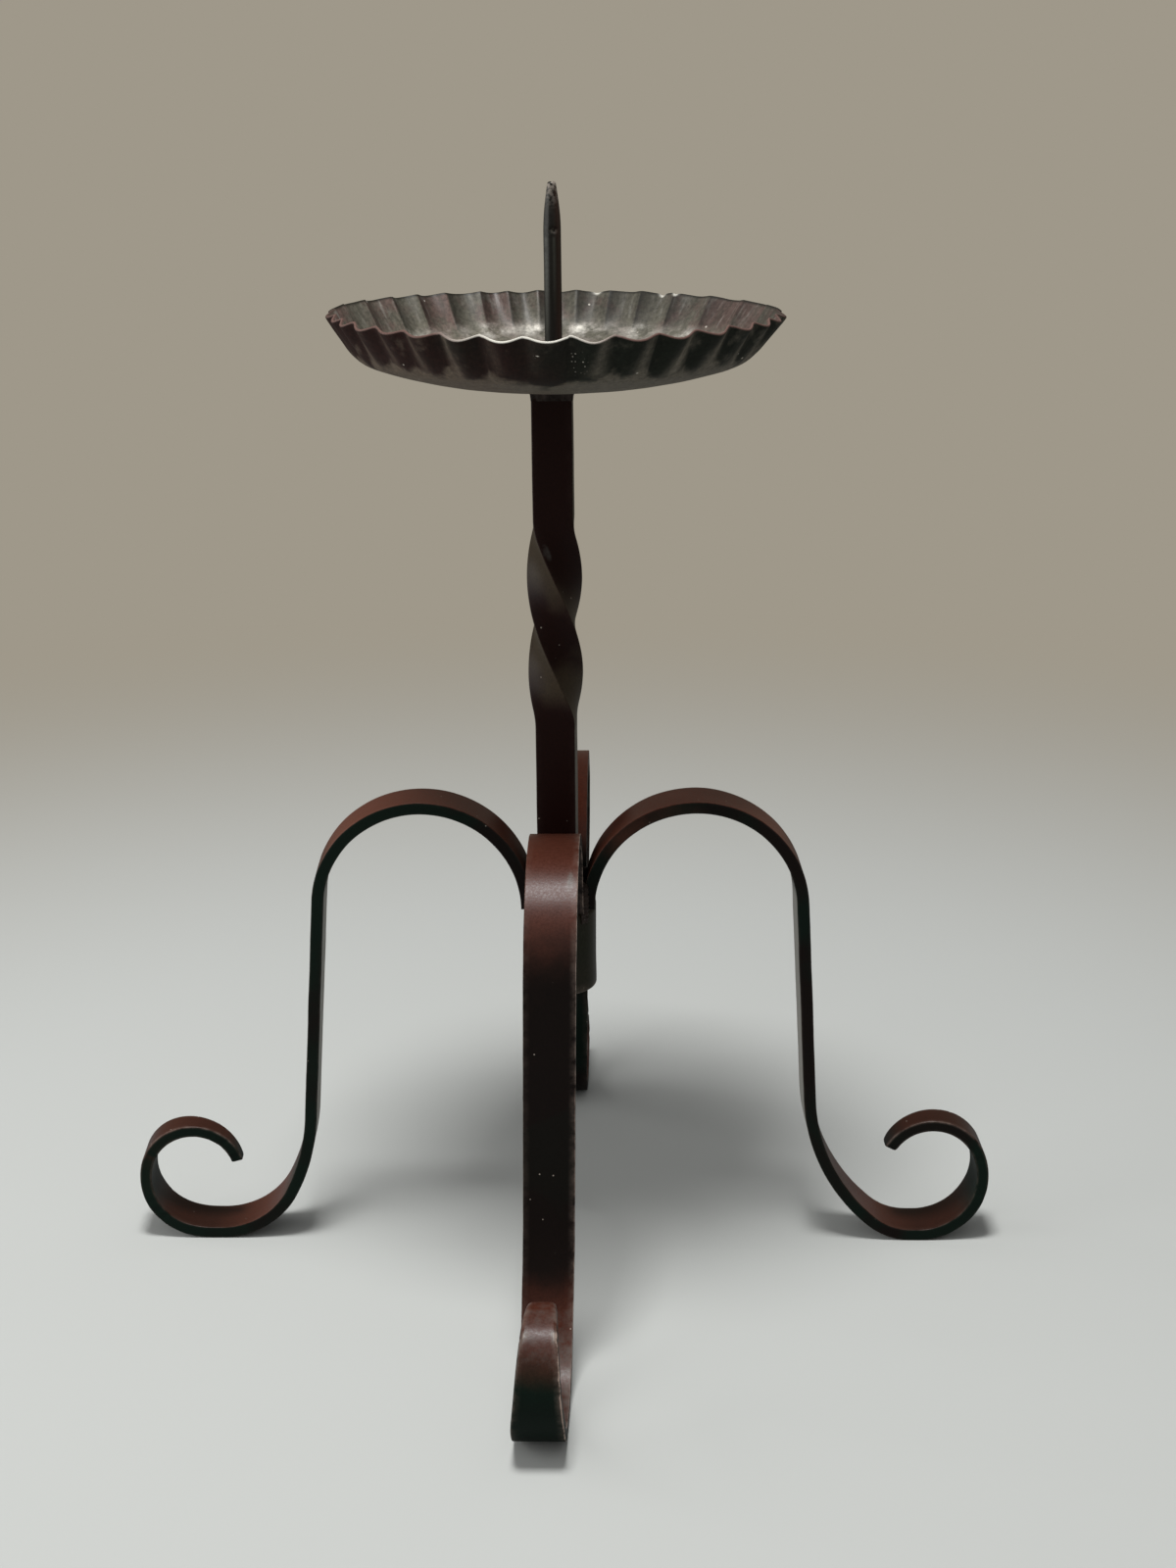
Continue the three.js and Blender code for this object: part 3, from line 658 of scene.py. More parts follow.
class CANDLESTICK_OT_twist_stem(Operator):
    """Twist the square bar of the stem"""

    bl_idname = "candlestick.twist_stem"
    bl_label = "Twist stem"

    def execute(self, context):
        sizes = context.scene.candlestick_stem
        low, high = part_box("twisted_stem")
        twist_top = high.z - sizes.twist_drop
        twist_foot = twist_top - sizes.twist_length
        scrape = twist_top - SCRAPE_DROP
        section = bar_section(sizes.side, sizes.side, sizes.edge, STEM_FLATS)
        rings = []
        marks = defaultdict(list)
        for z in spaced(low.z, high.z, math.ceil((high.z - low.z) / STEM_STEP)):
            part = clamp((z - twist_foot) / sizes.twist_length)
            turn = Matrix.Rotation(sizes.twist_turn * soft_twist(part) + sizes.skew * (1 - part), 3, "Z")
            ring = []
            for across, up, wear in section:
                spot = (across, up, z)
                swell = 1 + 0.007 * ripple(spot, 16 * MM, 1) + 0.003 * ripple(spot, 5 * MM, 2)
                point = turn @ Vector((across * swell, up * swell, 0))
                ring.append((point.x, point.y, z))
                marks["worn"].append(wear * 0.12)
                scraped = bell(scrape - z, 5 * MM) * bell(across - 6 * MM, 2 * MM)
                marks["scuff"].append(0.8 * scraped if up > 0.4 * sizes.side else 0.0)

                # Painted sheen: faces that look to the side take the olive, and the right one is pale below
                # the twist.
                outward = Vector((across, 0, 0)) if abs(across) > abs(up) else Vector((0, up, 0))
                facing = (turn @ outward.normalized()).x
                marks["patina_and_sheen"].append(2 * clamp(max(-1.6 * facing, 0.95 * facing) - 0.25) - 1)
                marks["pale"].append(0.2 if facing > 0.9 and part == 0 else 0.0)
            rings.append(ring)
        legs = context.scene.candlestick_legs
        finish = oxide_paint("Maroon-black oxide paint on square bar", sizes.colour, sizes.colour,
                             sizes.olive, legs, rough=0.44, matt=0.44, grain=0.9)
        make_piece("twisted_stem_bar", rings, finish, "twisted_stem", "stem_iron", **marks)
        return {"FINISHED"}


def walk(start, bends, step):
    """Middle line of a bar through bends of a length and a turn: radius, height, heading and way gone."""
    path = [start]
    for way, turn in bends:
        radius, height, heading, gone = path[-1]
        count = math.ceil(way / step)
        for i in range(1, count + 1):
            part = i / count
            ahead = heading + turn * part
            if turn:
                bend = way / turn
                place = (radius + bend * (math.sin(ahead) - math.sin(heading)),
                         height - bend * (math.cos(ahead) - math.cos(heading)))
            else:
                place = (radius + way * part * math.cos(heading), height + way * part * math.sin(heading))
            path.append((*place, ahead, gone + way * part))
    return path


def leg_path(sizes, bends):
    """Middle line of a leg from the hub to the tip.

    It comes with the radius at the ankle and the way gone where the scroll starts.
    """
    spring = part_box("hub_collar")[1].z + GAP
    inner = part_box("leg_right")[0].x
    splay, sweep_turn = bends["splay"], bends["sweep_turn"]
    arch = math.pi - splay
    downhill = splay - math.pi / 2
    foot_turn = -downhill - sweep_turn
    sweep_fall = bends["sweep_radius"] * (math.cos(downhill + sweep_turn) - math.cos(downhill))
    foot_fall = bends["foot_radius"] * (1 - math.cos(foot_turn))
    fall = spring + bends["arch_radius"] * math.sin(splay) - sweep_fall - foot_fall - sizes.thickness / 2
    start = (inner + sizes.thickness / 2, spring, math.pi / 2, 0.0)
    ankle = walk(start, ((bends["arch_radius"] * arch, -arch), (fall / math.cos(splay), 0)), LEG_STEP)
    floor = walk(ankle[-1], ((bends["sweep_radius"] * sweep_turn, sweep_turn),
                             (bends["foot_radius"] * foot_turn, foot_turn),
                             (sizes.worn_flat, 0)), LEG_STEP)
    curls = (("foot_radius", "foot_lift"), ("heel_radius", "heel_turn"), ("curl_radius", "curl_turn"))
    arcs = [(bends[radius] * bends[turn], bends[turn]) for radius, turn in curls]
    scroll = walk(floor[-1], arcs, SCROLL_STEP)
    tip = walk(scroll[-1], ((sizes.tip_round / 2, 0),), TIP_STEP)
    return ankle + floor[1:] + scroll[1:] + tip[1:], ankle[-1][0], floor[-1][3]


class CANDLESTICK_OT_forge_legs(Operator):
    """Bend four flat bars into arched legs with scrolled feet"""

    bl_idname = "candlestick.forge_legs"
    bl_label = "Forge legs"

    def execute(self, context):
        sizes = context.scene.candlestick_legs
        finish = oxide_paint("Red-brown oxide paint on flat bar", sizes.red, sizes.black, sizes.green,
                             sizes, rough=0.35, matt=0.5, grain=0.8)
        for quarter, (side, own) in enumerate(LEG_BENDS.items()):
            bends = {name: getattr(sizes, name) for name in BENDS}
            for name, value in own.items():
                bends[name] = math.radians(value) if name in ANGLES else value * MM
            rings, marks = self.leg_rings(sizes, bends, side, quarter)
            make_piece("leg_bar_" + side, rings, finish, "leg_" + side, "leg_iron", **marks)
        return {"FINISHED"}

    def leg_rings(self, sizes, bends, side, quarter):
        """Rings of one leg, turned to its quarter of the circle, and the marks of their points."""
        path, ankle, taper = leg_path(sizes, bends)
        end = path[-1][3]
        crown = bends["arch_radius"] * math.pi / 2
        top = max(height for radius, height, heading, gone in path)
        turn = Matrix.Rotation(quarter * math.pi / 2, 3, "Z")
        front = side == "front"
        inward = {"right": 1, "left": -1}.get(side, 0)
        arch, foot, curl = SHADES[side]
        corner = min(sizes.tip_round, 0.36 * bends["tip_width"])
        rings = []
        marks = defaultdict(list)
        for radius, height, heading, gone in path:
            along = (gone - taper) / (end - taper)
            over = gone / crown

            # The bar narrows to a tip with round corners, and its edges are hammered blunt on the way.
            narrow = clamp((along - sizes.full_width) / (1 - sizes.full_width))
            width = sizes.width + (bends["tip_width"] - sizes.width) * narrow
            rounded = max(0.0, corner - (end - gone))
            width -= 2 * (corner - math.sqrt(corner ** 2 - rounded ** 2))
            thickness = sizes.thickness * (1 - 0.22 * clamp(1 - (end - gone) / (1.2 * MM)) ** 2)
            hammered = 0.0 if inward else clamp((along - 0.55) / 0.25)
            blunt = 1 + (1.2 if inward else 2.7) * clamp(along * 2) + 3.2 * hammered
            edge = min(sizes.edge * blunt, 0.4 * width)

            # Twist and sideways lean that this leg was left with.
            twisted = math.tan(bends["twist"]) * clamp(over - 0.3)
            drift = bends["shift"] + math.tan(bends["lean"]) * max(0.0, radius - ankle)
            if gone > crown:
                drift += math.tan(bends["tilt"]) * min(0.0, height - top)

            # Paint: green-black scrolls; painted light on each arch and painted shade on each scroll, with
            # darker tips;
            # and a painted sheen on the side legs' inner runs.
            patina_and_sheen = clamp(along * 4) * (0.15 if side == "right" else 1.0)
            patina_and_sheen -= 0.8 * clamp(-along * 8) if front else 0.0
            scroll = foot + (curl - foot) * clamp(along * 1.6)
            scroll -= 0.35 * clamp((along - 0.88) / 0.08) if inward else 0.0
            shade = arch * clamp(3 - over) + scroll * clamp(1 + along * 4)
            # Painted sheen on the inner faces of the side legs' straight runs.
            painted_sheen = clamp(over * 6 - 10.8) * clamp((taper - 48 * MM - gone) / (20 * MM))
            painted_sheen *= 0.8 if side == "right" else 1.0
            # Painted light: upright faces of the rear and right arches read as lit, and the front leg reads
            # less lit above its scroll.
            painted_light_shift = 0.0
            if side == "rear":
                painted_light_shift = 0.55 * clamp((1.25 - over) / 0.35) * clamp(over * 1.5 - 0.3)
            elif side == "right":
                painted_light_shift = 0.26 * bell(over - 0.65, 0.35)
            elif front:
                painted_light_shift = -0.3 * bell(gone - taper + FRONT_DARK_STRETCH, 22 * MM)
            ring = []
            for across, up, wear in bar_section(width, thickness, edge, LEG_FLATS):
                hand = 1 if across > 0 else -1
                rubbed = 0.0
                film = 0.0
                if front:
                    rubbed = bell(gone - ARCH_RUB, 6 * MM) * bell(across - 7.4 * MM, 2 * MM)
                    film = 0.45 * clamp(along * 5 - 2) if up < 0 else 0.65 * clamp(along * 3 + 2)
                if front and up < 0:
                    ends = abs(across) - 0.38 * width
                    rubbed += bell(gone - taper - SCROLL_RUB, 3 * MM) * bell(ends, 1.4 * MM)
                behind = inward * across > -0.38 * width and up < 0.1 * MM - thickness / 2
                # Edge wear; on the front leg's right edge the value is raised into a painted highlight.
                edge_wear_and_glint = 0.3 + 0.5 * clamp(along * 3 - 1) if inward else 0.6
                if front and hand > 0:
                    edge_wear_and_glint = 1.5 - hammered
                marks["scuff"].append(max(rubbed, film))
                marks["pale"].append(painted_sheen if inward and behind else 0.0)
                marks["painted_light_shift"].append(0.0 if side == "right" and hand > 0 else painted_light_shift)
                marks["patina_and_sheen"].append(patina_and_sheen)
                marks["shade"].append(shade)
                marks["worn"].append(wear * edge_wear_and_glint + (1.25 if along > 0 else 0.5) * rubbed ** 2)

                # Uneven borders, nicked along the scroll, and faces that show the hammer.
                border = (gone, hand * 0.05, 0)
                nick = max(0.0, ripple(border, 2.6 * MM, quarter + 5) - 0.25)
                uneven = ripple(border, 14 * MM, quarter + 1) * 0.12 * MM - nick * clamp(along * 2) * MM
                across += hand * uneven * (abs(across) / (width / 2)) ** 2
                up += ripple((gone, across, up), 15 * MM, quarter + 9) * 0.11 * MM
                up += ripple((gone, across, up), 5 * MM, quarter + 13) * 0.04 * MM
                out = radius - up * math.sin(heading) - twisted * across
                z = max(0.0, height + up * math.cos(heading))
                ring.append(turn @ Vector((out, across + drift, z)))
            rings.append(ring)
        return rings, marks


def pan_profile(sizes, base, hole):
    """Closed outline of the pan's sheet as radius, height, inside and rim, and the slope of its wall."""
    slope = math.atan2(sizes.wall, sizes.rim_radius - sizes.floor_radius)
    along = Vector((math.cos(slope), math.sin(slope)))
    corner = Vector((sizes.floor_radius, base + sizes.dish))
    spread = sizes.floor_radius - sizes.seat_radius

    def floor_point(radius):
        return Vector((radius, base + sizes.dish * max(0.0, (radius - sizes.seat_radius) / spread) ** 2))

    start = floor_point(sizes.floor_radius - sizes.bend)
    finish = corner + along * sizes.bend
    rim = Vector((sizes.rim_radius, base + sizes.dish + sizes.wall)) - along * sizes.sheet / 2
    under = [floor_point(radius) for radius in spaced(hole, start.x, 22)[:-1]]
    for part in spaced(0, 1, 9)[:-1]:
        under.append(start * (1 - part) ** 2 + corner * 2 * part * (1 - part) + finish * part ** 2)
    under += spaced(finish, rim, 12)
    upper = []
    for i, point in enumerate(under):
        before = under[max(0, i - 1)]
        beyond = under[min(len(under) - 1, i + 1)]
        way = (beyond - before).normalized()
        rise = max(0.0, (point.y - corner.y) / sizes.wall)
        upper.append(point + Vector((-way.y, way.x)) * sizes.sheet * (1 - 0.3 * rise ** 2))
    middle = (under[-1] + upper[-1]) / 2
    across = (upper[-1] - under[-1]) / 2
    outline = [(*point, 0.0, 0.0) for point in under]
    for turn in (-54, -18, 18, 54):
        bend = math.radians(turn)
        round_point = middle + across * math.sin(bend) + along * math.cos(bend) * across.length
        outline.append((*round_point, 0.5 + turn / 180, 1.0))
    outline += [(*point, 1.0, 0.9 if point is upper[-1] else 0.0) for point in reversed(upper)]
    return outline, slope


def away(turn, degrees):
    """How many degrees a turn is away from a place on the rim."""
    return abs((math.degrees(turn) - degrees + 180) % 360 - 180)


def near(turn, place):
    """Weight at a turn of a place on the rim, given as its angle and spread in degrees."""
    return bell(away(turn, place[0]), place[1])


class CANDLESTICK_OT_raise_pan(Operator):
    """Raise the drip pan from sheet and crimp its wall"""

    bl_idname = "candlestick.raise_pan"
    bl_label = "Raise pan"

    def execute(self, context):
        sizes = context.scene.candlestick_pan
        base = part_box("drip_pan")[0].z
        hole = context.scene.candlestick_spike.diameter / 2 + GAP
        outline, slope = pan_profile(sizes, base, hole)
        wall_foot = base + sizes.dish
        creases = [math.radians(place) for place in CREASES]
        rings = []
        marks = defaultdict(list)
        for turn in circle(len(creases) * CRIMP_STEPS):
            degrees = math.degrees(turn)
            spot = Vector((math.cos(turn), math.sin(turn), 0))
            crimp = bisect.bisect_right(creases, turn) - 1
            across = (creases[(crimp + 1) % len(creases)] - creases[crimp]) % (2 * math.pi)
            part = (turn - creases[crimp]) % (2 * math.pi) / across
            own = [noise.cell(Vector((crimp + 1.5, seed, 0.5))) for seed in (1.5, 2.5, 3.5)]

            # Crimps, deeper and rounder at the front, on a wall that isn't even all round.
            wave = math.sin(part * math.pi)
            front = clamp(0.5 - 1.5 * math.sin(turn))
            lobe = math.sqrt(wave * wave + 0.06 + 0.14 * front) - 0.66 - 0.13 * front
            lean = slope + math.radians(16) * (1 - front)
            depth = sizes.flute_depth * (1 + 0.25 * own[0]) * (1 + 0.3 * front)
            start = wall_foot + (0.4 + 1.1 * own[1]) * MM
            steep = near(turn, STEEP_WALL)
            sag = near(turn, LOW_FLOOR)
            ragged = 0.5 * MM * ripple(spot, 0.5, 3) + 0.28 * MM * ripple(spot, 0.09, 4)
            chipped = 0.0
            for place, width, deep in RIM_CHIPS:
                chip = bell((turn - math.radians(place)) * sizes.rim_radius, width / 2)
                chipped += chip
                ragged -= deep * chip

            # Outside: darker in the middle, and painted reflections as gleams on the crimps' flanks that
            # change sides there.
            side = clamp(0.25 + away(turn, DULL_FRONT) / 45) * (1 + 0.2 * near(turn, BRIGHT_FLANKS))
            middle = 0.4 * near(turn, DARKER_FRONT)
            bared = 0.4 * near(turn, THIN_PAINT)
            flank, slide, soft = 0.19, 0.1, 0.09
            if degrees >= FLANK_CHANGE:
                flank, slide, soft = 0.78 + 0.14 * clamp((degrees - 285) / 60), -0.1, 0.125

            # Inside: painted highlights at the wall's foot, and painted light and shade across each crimp,
            # darkest towards the next crease.
            shiny = 0.4 + max(near(turn, place) for place in SHINE)
            left = near(turn, LEFT_PLEATS)
            right = near(turn, RIGHT_PLEATS)
            level = 1 - 0.18 * near(turn, DIM_INSIDE)
            pleat = 1.1 + 0.3 * left + 0.2 * right
            pleat -= (0.3 + 0.7 * left + 0.4 * right) * clamp((part - 0.08) / 0.87)
            pleat -= 0.35 * right * bell(min(part, 1 - part), 0.12)
            ring = []
            for radius, height, inside, rim in outline:
                rise = clamp((height - wall_foot) / sizes.wall)
                risen = (height - start) / sizes.flute_height
                fade = clamp(risen)
                push = depth * fade * lobe
                push += 0.12 * MM * ripple((spot.x * radius, spot.y * radius, height), 9 * MM, 6)
                out = radius + push * math.sin(lean) - 2.2 * MM * steep * rise
                up = height - push * math.cos(lean) + ragged * rise ** 3 + 2.0 * MM * steep * rise
                up -= 1.2 * MM * sag * clamp((radius - 25 * MM) / (50 * MM)) * (1 - rise)
                ring.append((out * spot.x + sizes.offset, out * spot.y, up))

                ridge = part - flank - 0.05 * own[2] - slide * (1 - fade)
                gleam = bell(ridge, soft * (1 + 0.8 * (1 - fade)))
                specks = bell(away(turn, SPECKS), 2.1, 4) * bell(rise - 0.45, 0.22, 4)
                slant = (rise - 0.62) * sizes.wall + 0.3 * (degrees - SCRATCH) * RIM_DEGREE
                scratch = 1.8 * bell(away(turn, SCRATCH), 1.1, 4) * bell(slant, 0.6 * MM)
                marks["inside"].append(inside)
                marks["rim"].append(rim)
                marks["chip"].append(chipped)
                marks["lobe"].append(clamp((risen + middle + 0.15 - 0.22 * (1 - wave)) / 0.3) - bared)
                marks["gleam"].append(gleam * side * clamp(0.8 + 0.5 * own[0]) * clamp(fade * 6))
                marks["pleat"].append(level * (1 + (pleat - 1) * clamp(fade * 2.5)))
                marks["nick"].append((1 - inside) * max(specks, scratch))
                marks["tone"].append(0.5 + 0.5 * own[1])
                marks["foot"].append(shiny * clamp(1 - abs(height - wall_foot - 1.2 * MM) / (3.8 * MM)))
                marks["wall"].append(clamp((height - wall_foot + 3 * MM) / (13 * MM)))
            rings.append(ring)
        finish = pan_paint("Brushed dark paint on crimped sheet", sizes)
        make_piece("drip_pan_sheet", rings, finish, "drip_pan", "pan_iron", loop=True, **marks)
        return {"FINISHED"}


class CANDLESTICK_OT_draw_spike(Operator):
    """Draw the spike out to its blunt point"""

    bl_idname = "candlestick.draw_spike"
    bl_label = "Draw spike"

    def execute(self, context):
        sizes = context.scene.candlestick_spike
        offset = context.scene.candlestick_pan.offset
        low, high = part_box("pricket_spike")
        top = high.z + sizes.burr
        shoulder = high.z - sizes.taper
        bend = shoulder - 6 * MM
        rings = []
        marks = defaultdict(list)
        for z in spaced(low.z, bend, 30)[:-1] + spaced(bend, top, 56):
            part = clamp((z - shoulder) / sizes.taper)
            radius = sizes.tip / 2 + (sizes.diameter - sizes.tip) / 2 * math.cos(part * math.pi / 2)
            radius -= 0.5 * MM * clamp(1 - (top - z) / (0.7 * MM)) ** 2
            below = clamp((shoulder - 1 * MM - z) / (2 * MM))
            ring = []
            for turn in circle(64):
                degrees = math.degrees(turn)
                spot = Vector((math.cos(turn), math.sin(turn), z / (12 * MM)))
                flat = (0.022 + 0.012 * part) * math.cos(7 * turn + 0.4)
                notch = bell(degrees - NOTCH, 24) * bell(z - shoulder - 0.8 * MM, 0.8 * MM)
                seam = bell(degrees - SEAM, 10) * clamp(1 - (shoulder - z) / (34 * MM)) * below
                sheen_strip = bell(degrees - SHEEN_STRIP, 17) * (0.3 + 0.7 * below)
                out = radius * (1 + flat + 0.018 * ripple(spot, 0.9, 3))
                out += 0.3 * MM * seam - 0.6 * MM * notch
                ring.append((out * math.cos(turn) + offset, out * math.sin(turn), z))
                # Painted sheen: the grey band, and a light line along the seam.
                marks["sheen_strip"].append(max(sheen_strip, 0.8 * seam))
                marks["brown"].append(bell(degrees - BROWN_SIDE, 26))
                marks["worn"].append(max(clamp(1.1 - (top - z) / (11 * MM)) ** 2, 0.8 * notch))
            rings.append(ring)
        finish = bare_iron("Dark scale on drawn iron rod", sizes)
        make_piece("pricket_spike_rod", rings, finish, "pricket_spike", "spike_iron", **marks)
        return {"FINISHED"}


class CANDLESTICK_OT_fit_collar(Operator):
    """Fit the short pipe under the legs"""

    bl_idname = "candlestick.fit_collar"
    bl_label = "Fit collar"

    def execute(self, context):
        sizes = context.scene.candlestick_collar
        low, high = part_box("hub_collar")
        outer = high.x
        bore = outer - sizes.wall
        chamfer = 0.6 * MM
        outline = [(bore, z, 0.0) for z in spaced(high.z, low.z + chamfer, 8)]
        outline.append((bore + chamfer, low.z, 0.8))
        for i, bend in enumerate(spaced(0, math.pi / 2, 7)):
            outline.append((outer - sizes.edge + sizes.edge * math.sin(bend),
                            low.z + sizes.edge * (1 - math.cos(bend)), 1.0 - 0.6 * i / 7))
        outline += [(outer, z, 0.0) for z in spaced(low.z + sizes.edge, high.z, 12)[1:]]
        rings = []
        worn = []
        for turn in circle(96):
            ring = []
            for radius, z, wear in outline:
                place = Vector((math.cos(turn) * radius, math.sin(turn) * radius, z))
                out = radius + 0.14 * MM * ripple(place, 12 * MM, 4)
                ring.append((out * math.cos(turn) + sizes.shift, out * math.sin(turn), z))
                worn.append(wear)
            rings.append(ring)
        legs = context.scene.candlestick_legs
        finish = oxide_paint("Grey-green black paint on pipe", sizes.colour, sizes.colour, sizes.green,
                             legs, rough=0.32, matt=0.36, grain=0.9)
        make_piece("hub_collar_pipe", rings, finish, "hub_collar", "stem_iron", loop=True, worn=worn)
        return {"FINISHED"}


class CANDLESTICK_OT_lay_welds(Operator):
    """Lay the weld beads at the hub, under the pan, round the spike and under the stem"""

    bl_idname = "candlestick.lay_welds"
    bl_label = "Lay welds"

    def execute(self, context):
        sizes = context.scene.candlestick_welds
        legs = context.scene.candlestick_legs
        finish = oxide_paint("Oxide paint over rippled weld metal", sizes.colour, sizes.colour,
                             legs.black, legs, rough=0.34, matt=0.5, grain=0.6)
        corners = ("right_rear", "rear_left", "left_front", "front_right")
        for quarter, corner in enumerate(corners):
            rings, worn = self.corner_bead(sizes, quarter)
            make_piece("hub_bead_" + corner, rings, finish, "hub_weld_" + corner, "weld_iron", worn=worn)
        offset = context.scene.candlestick_pan.offset
        rings, worn = self.ring_bead(*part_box("pan_weld"), square=True, offset=0.0)
        make_piece("pan_bead", rings, finish, "pan_weld", "weld_iron", loop=True, worn=worn)
        rings, worn = self.ring_bead(*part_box("spike_weld"), square=False, offset=offset)
        make_piece("spike_bead", rings, finish, "spike_weld", "weld_iron", loop=True, worn=worn)
        rings, worn = self.plug(*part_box("collar_plug_weld"))
        make_piece("collar_plug_bead", rings, finish, "collar_plug_weld", "weld_iron", worn=worn)
        return {"FINISHED"}

    def corner_bead(self, sizes, quarter):
        """Upright bead in the corner between two neighbouring legs, lapping onto the collar."""
        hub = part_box("hub_collar")[1].z
        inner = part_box("leg_right")[0].x - 0.4 * MM
        root = inner - 1.2 * MM
        turn = Matrix.Rotation(quarter * math.pi / 2, 3, "Z")
        count = 44
        rings = []
        worn = []
        for i, z in enumerate(spaced(hub - sizes.drop, hub + sizes.rise, count)):
            ends = math.sqrt(max(0.0, 1 - (2 * i / count - 1) ** 8))
            puddle = 0.22 * MM * math.cos(2 * math.pi * z / sizes.ripple + quarter)
            ring = [turn @ Vector((root, root, z))]
            worn.append(0.0)
            for bend in spaced(0, math.pi / 2, BEAD_STEPS):
                reach = sizes.corner * (0.35 + 0.65 * ends) + puddle * ends
                reach *= 1 - 0.3 * math.sin(2 * bend)
                reach += 0.5 * MM * ripple((z, bend * 3 * MM, 0), 3.2 * MM, quarter + 2)
                point = Vector((inner + reach * math.cos(bend), inner + reach * math.sin(bend), z))
                ring.append(turn @ point)
                worn.append(0.25)
            rings.append(ring)
        return rings, worn

    def ring_bead(self, low, high, square, offset):
        """Bead round a bar that stands on the pan's middle: square under the pan, round above it."""
        base, edge = (high.z, low.z) if square else (low.z, high.z)
        outer = high.x
        rings = []
        worn = []
        for turn in circle(96):
            spot = (math.cos(turn) * 9 * MM, math.sin(turn) * 9 * MM)
            far = max(abs(math.cos(turn)), abs(math.sin(turn))) if square else 1.0
            inner = 7.6 * MM / far if square else 3.2 * MM
            reach = min(outer, 11.2 * MM / far) if square else outer
            outline = []
            for bend in spaced(0, math.pi / 2, BEAD_STEPS):
                lump = 0.35 * MM * ripple((*spot, bend * MM), 2.4 * MM, 7)
                lump += 0.14 * MM * math.cos(turn * 24)
                out = inner + (reach - inner) * (1 - 0.85 * math.sin(bend)) + lump
                outline.append((out, base + (edge - base) * (1 - math.cos(bend)) * 0.98, 0.2))
            outline += [(inner * 0.98, edge, 0.0), (inner * 0.98, base, 0.0)]
            ring = []
            for out, z, wear in outline:
                ring.append((out * math.cos(turn) + offset, out * math.sin(turn), z))
                worn.append(wear)
            rings.append(ring)
        return rings, worn

    def plug(self, low, high):
        """Lumpy disc that closes the collar under the stem's end."""
        outer = high.x + 0.25 * MM
        rings = []
        worn = []
        outline = [(share, 0.0) for share in spaced(0.08, 1.0, 12)] + [(1.0, 0.5), (1.0, 1.0), (0.1, 1.0)]
        for share, rise in outline:
            ring = []
            for turn in circle(48):
                spot = Vector((math.cos(turn) * share * outer, math.sin(turn) * share * outer, 0))
                z = low.z + (high.z - low.z) * rise
                if rise == 0.0:
                    z += 0.45 * MM * (1 + ripple(spot, 4 * MM, 3)) + 1.2 * MM * share ** 6
                ring.append((spot.x, spot.y, z))
                worn.append(0.15)
            rings.append(ring)
        return rings, worn


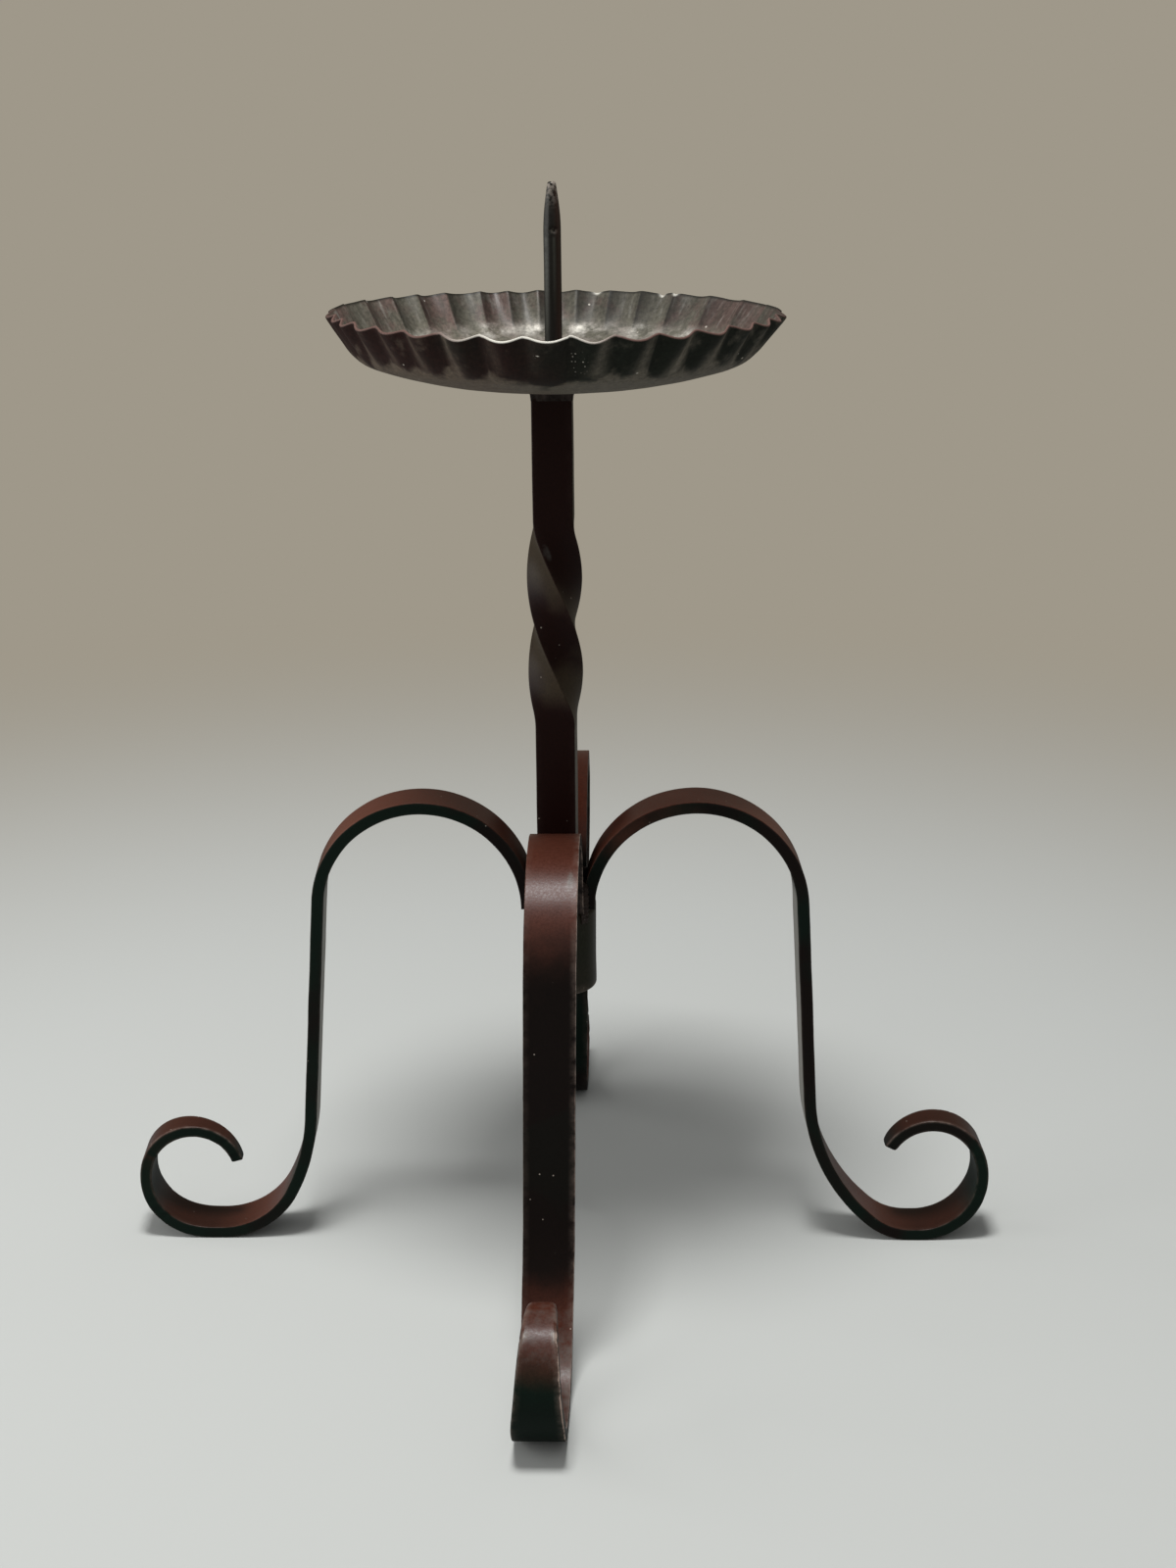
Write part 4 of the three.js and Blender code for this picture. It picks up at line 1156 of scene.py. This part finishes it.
class CANDLESTICK_OT_set_stage(Operator):
    """Set the floor, the lights and the camera"""

    bl_idname = "candlestick.set_stage"
    bl_label = "Set stage"

    def execute(self, context):
        scene = context.scene
        look = scene.candlestick_stage
        scene.view_settings.view_transform = "Standard"
        self.world(scene, look)
        self.floor(scene, look)
        self.softbox(scene, "overhead_softbox", (-0.08, -0.3, 1.8), 0.38, look.key)
        self.softbox(scene, "front_softbox", (-0.3, -1.6, 1.7), 1.6, look.front)
        self.softbox(scene, "left_softbox", (-1.3, -0.2, 0.35), 1.4, look.fill)
        self.camera(scene, look)
        return {"FINISHED"}

    def seen(self, tree, look):
        """Strength of the background for a ray, and whether it sees any.

        It is full from the camera, less by a reflection and none for plain light.
        """
        camera = add(tree, "LightPath", output="Is Camera Ray")
        glossy = add(tree, "LightPath", output="Is Glossy Ray")
        mirrored = add(tree, "Math", (glossy, look.reflected), operation="MULTIPLY")
        seen = add(tree, "Math", (camera, mirrored), operation="MAXIMUM")
        return seen, add(tree, "Math", (seen, 0.01), operation="GREATER_THAN")

    def world(self, scene, look):
        """Plain background that is seen at full strength and lights the object only a little."""
        world = bpy.data.worlds.new("Studio")
        world.use_nodes = True
        tree = world.node_tree
        tree.nodes.clear()
        seen, shown = self.seen(tree, look)
        light = add(tree, "Background", {"Color": (1.0, 1.0, 1.0, 1.0), "Strength": look.ambient})
        sight = add(tree, "Background", {"Color": rgba(look.backdrop), "Strength": seen})
        output = tree.nodes.new("ShaderNodeOutputWorld")
        tree.links.new(add(tree, "MixShader", (shown, light, sight)), output.inputs["Surface"])
        scene.world = world

    def floor(self, scene, look):
        """Pale floor that fades into the background away from the object."""
        shape = bmesh.new()
        bmesh.ops.create_circle(shape, cap_ends=True, segments=64, radius=12.0)
        mesh = bpy.data.meshes.new("studio_floor")
        shape.to_mesh(mesh)
        shape.free()
        material = empty_material("Matt pale floor")
        tree = material.node_tree
        place = add(tree, "TexCoord", output="Object")
        distance = add(tree, "VectorMath", (place,), output="Value", operation="LENGTH")
        far = add(tree, "MapRange", (distance, 0.3, 1.15), **SMOOTH)
        seen, shown = self.seen(tree, look)
        fade = add(tree, "Math", (far, shown), operation="MULTIPLY")
        glossy = add(tree, "LightPath", output="Is Glossy Ray")
        tone = add(tree, "MixRGB", (glossy, rgba(look.floor), rgba(look.floor, look.mirrored)))
        matt = add(tree, "BsdfDiffuse", {"Color": tone})
        glow = add(tree, "Emission", {"Color": rgba(look.backdrop), "Strength": seen})
        add_output(tree, add(tree, "MixShader", (fade, matt, glow)))
        mesh.materials.append(material)
        floor = bpy.data.objects.new("studio_floor", mesh)
        scene.collection.objects.link(floor)

    def softbox(self, scene, name, place, size, radiance):
        """Square area light of an even brightness that faces the object."""
        light = bpy.data.lights.new(name, "AREA")
        light.size = size
        light.energy = math.pi * size * size * radiance
        box = bpy.data.objects.new(name, light)
        box.location = place
        box.rotation_euler = (LIT_POINT - box.location).to_track_quat("-Z", "Y").to_euler()
        box.visible_camera = False
        scene.collection.objects.link(box)

    def camera(self, scene, look):
        """Camera solved from the photograph's outlines."""
        yaw, pitch, roll = CAMERA_TURNS
        heading = Vector((math.sin(yaw), math.cos(yaw), 0))
        forward = heading * math.cos(pitch) - Vector((0, 0, math.sin(pitch)))
        level = Vector((math.cos(yaw), -math.sin(yaw), 0))
        plumb = forward.cross(level)
        right = level * math.cos(roll) + plumb * math.sin(roll)
        down = plumb * math.cos(roll) - level * math.sin(roll)
        data = bpy.data.cameras.new("photo_camera")
        data.sensor_width = 36.0
        data.lens = look.lens
        camera = bpy.data.objects.new("photo_camera", data)
        turned = Matrix((right, -down, -forward)).transposed().to_4x4()
        camera.matrix_world = Matrix.Translation(CAMERA_PLACE) @ turned
        scene.collection.objects.link(camera)
        scene.camera = camera


GROUPS = {"stem": StemSizes, "legs": LegSizes, "pan": PanSizes, "spike": SpikeSizes,
          "collar": CollarSizes, "welds": WeldSizes, "stage": StageSettings}
STEPS = {"stem": CANDLESTICK_OT_twist_stem, "collar": CANDLESTICK_OT_fit_collar,
         "legs": CANDLESTICK_OT_forge_legs, "welds": CANDLESTICK_OT_lay_welds,
         "pan": CANDLESTICK_OT_raise_pan, "spike": CANDLESTICK_OT_draw_spike,
         "stage": CANDLESTICK_OT_set_stage}


class CANDLESTICK_PT_pieces(Panel):
    """Sizes and colours of each piece, with the step that makes it"""

    bl_idname = "CANDLESTICK_PT_pieces"
    bl_label = "Candlestick"
    bl_space_type = "VIEW_3D"
    bl_region_type = "UI"
    bl_category = "Candlestick"

    def draw(self, context):
        for key, step in STEPS.items():
            group = getattr(context.scene, "candlestick_" + key)
            box = self.layout.box()
            for name in GROUPS[key].__annotations__:
                box.prop(group, name)
            box.operator(step.bl_idname)


CLASSES = (*GROUPS.values(), *STEPS.values(), CANDLESTICK_PT_pieces)


def register():
    for kind in CLASSES:
        bpy.utils.register_class(kind)
    for key, group in GROUPS.items():
        setattr(bpy.types.Scene, "candlestick_" + key, PointerProperty(type=group))


def unregister():
    for key in GROUPS:
        delattr(bpy.types.Scene, "candlestick_" + key)
    for kind in reversed(CLASSES):
        bpy.utils.unregister_class(kind)


def main():
    register()
    bpy.ops.candlestick.twist_stem()
    bpy.ops.candlestick.fit_collar()
    bpy.ops.candlestick.forge_legs()
    bpy.ops.candlestick.lay_welds()
    bpy.ops.candlestick.raise_pan()
    bpy.ops.candlestick.draw_spike()
    bpy.ops.candlestick.set_stage()


if __name__ == "__main__":
    main()
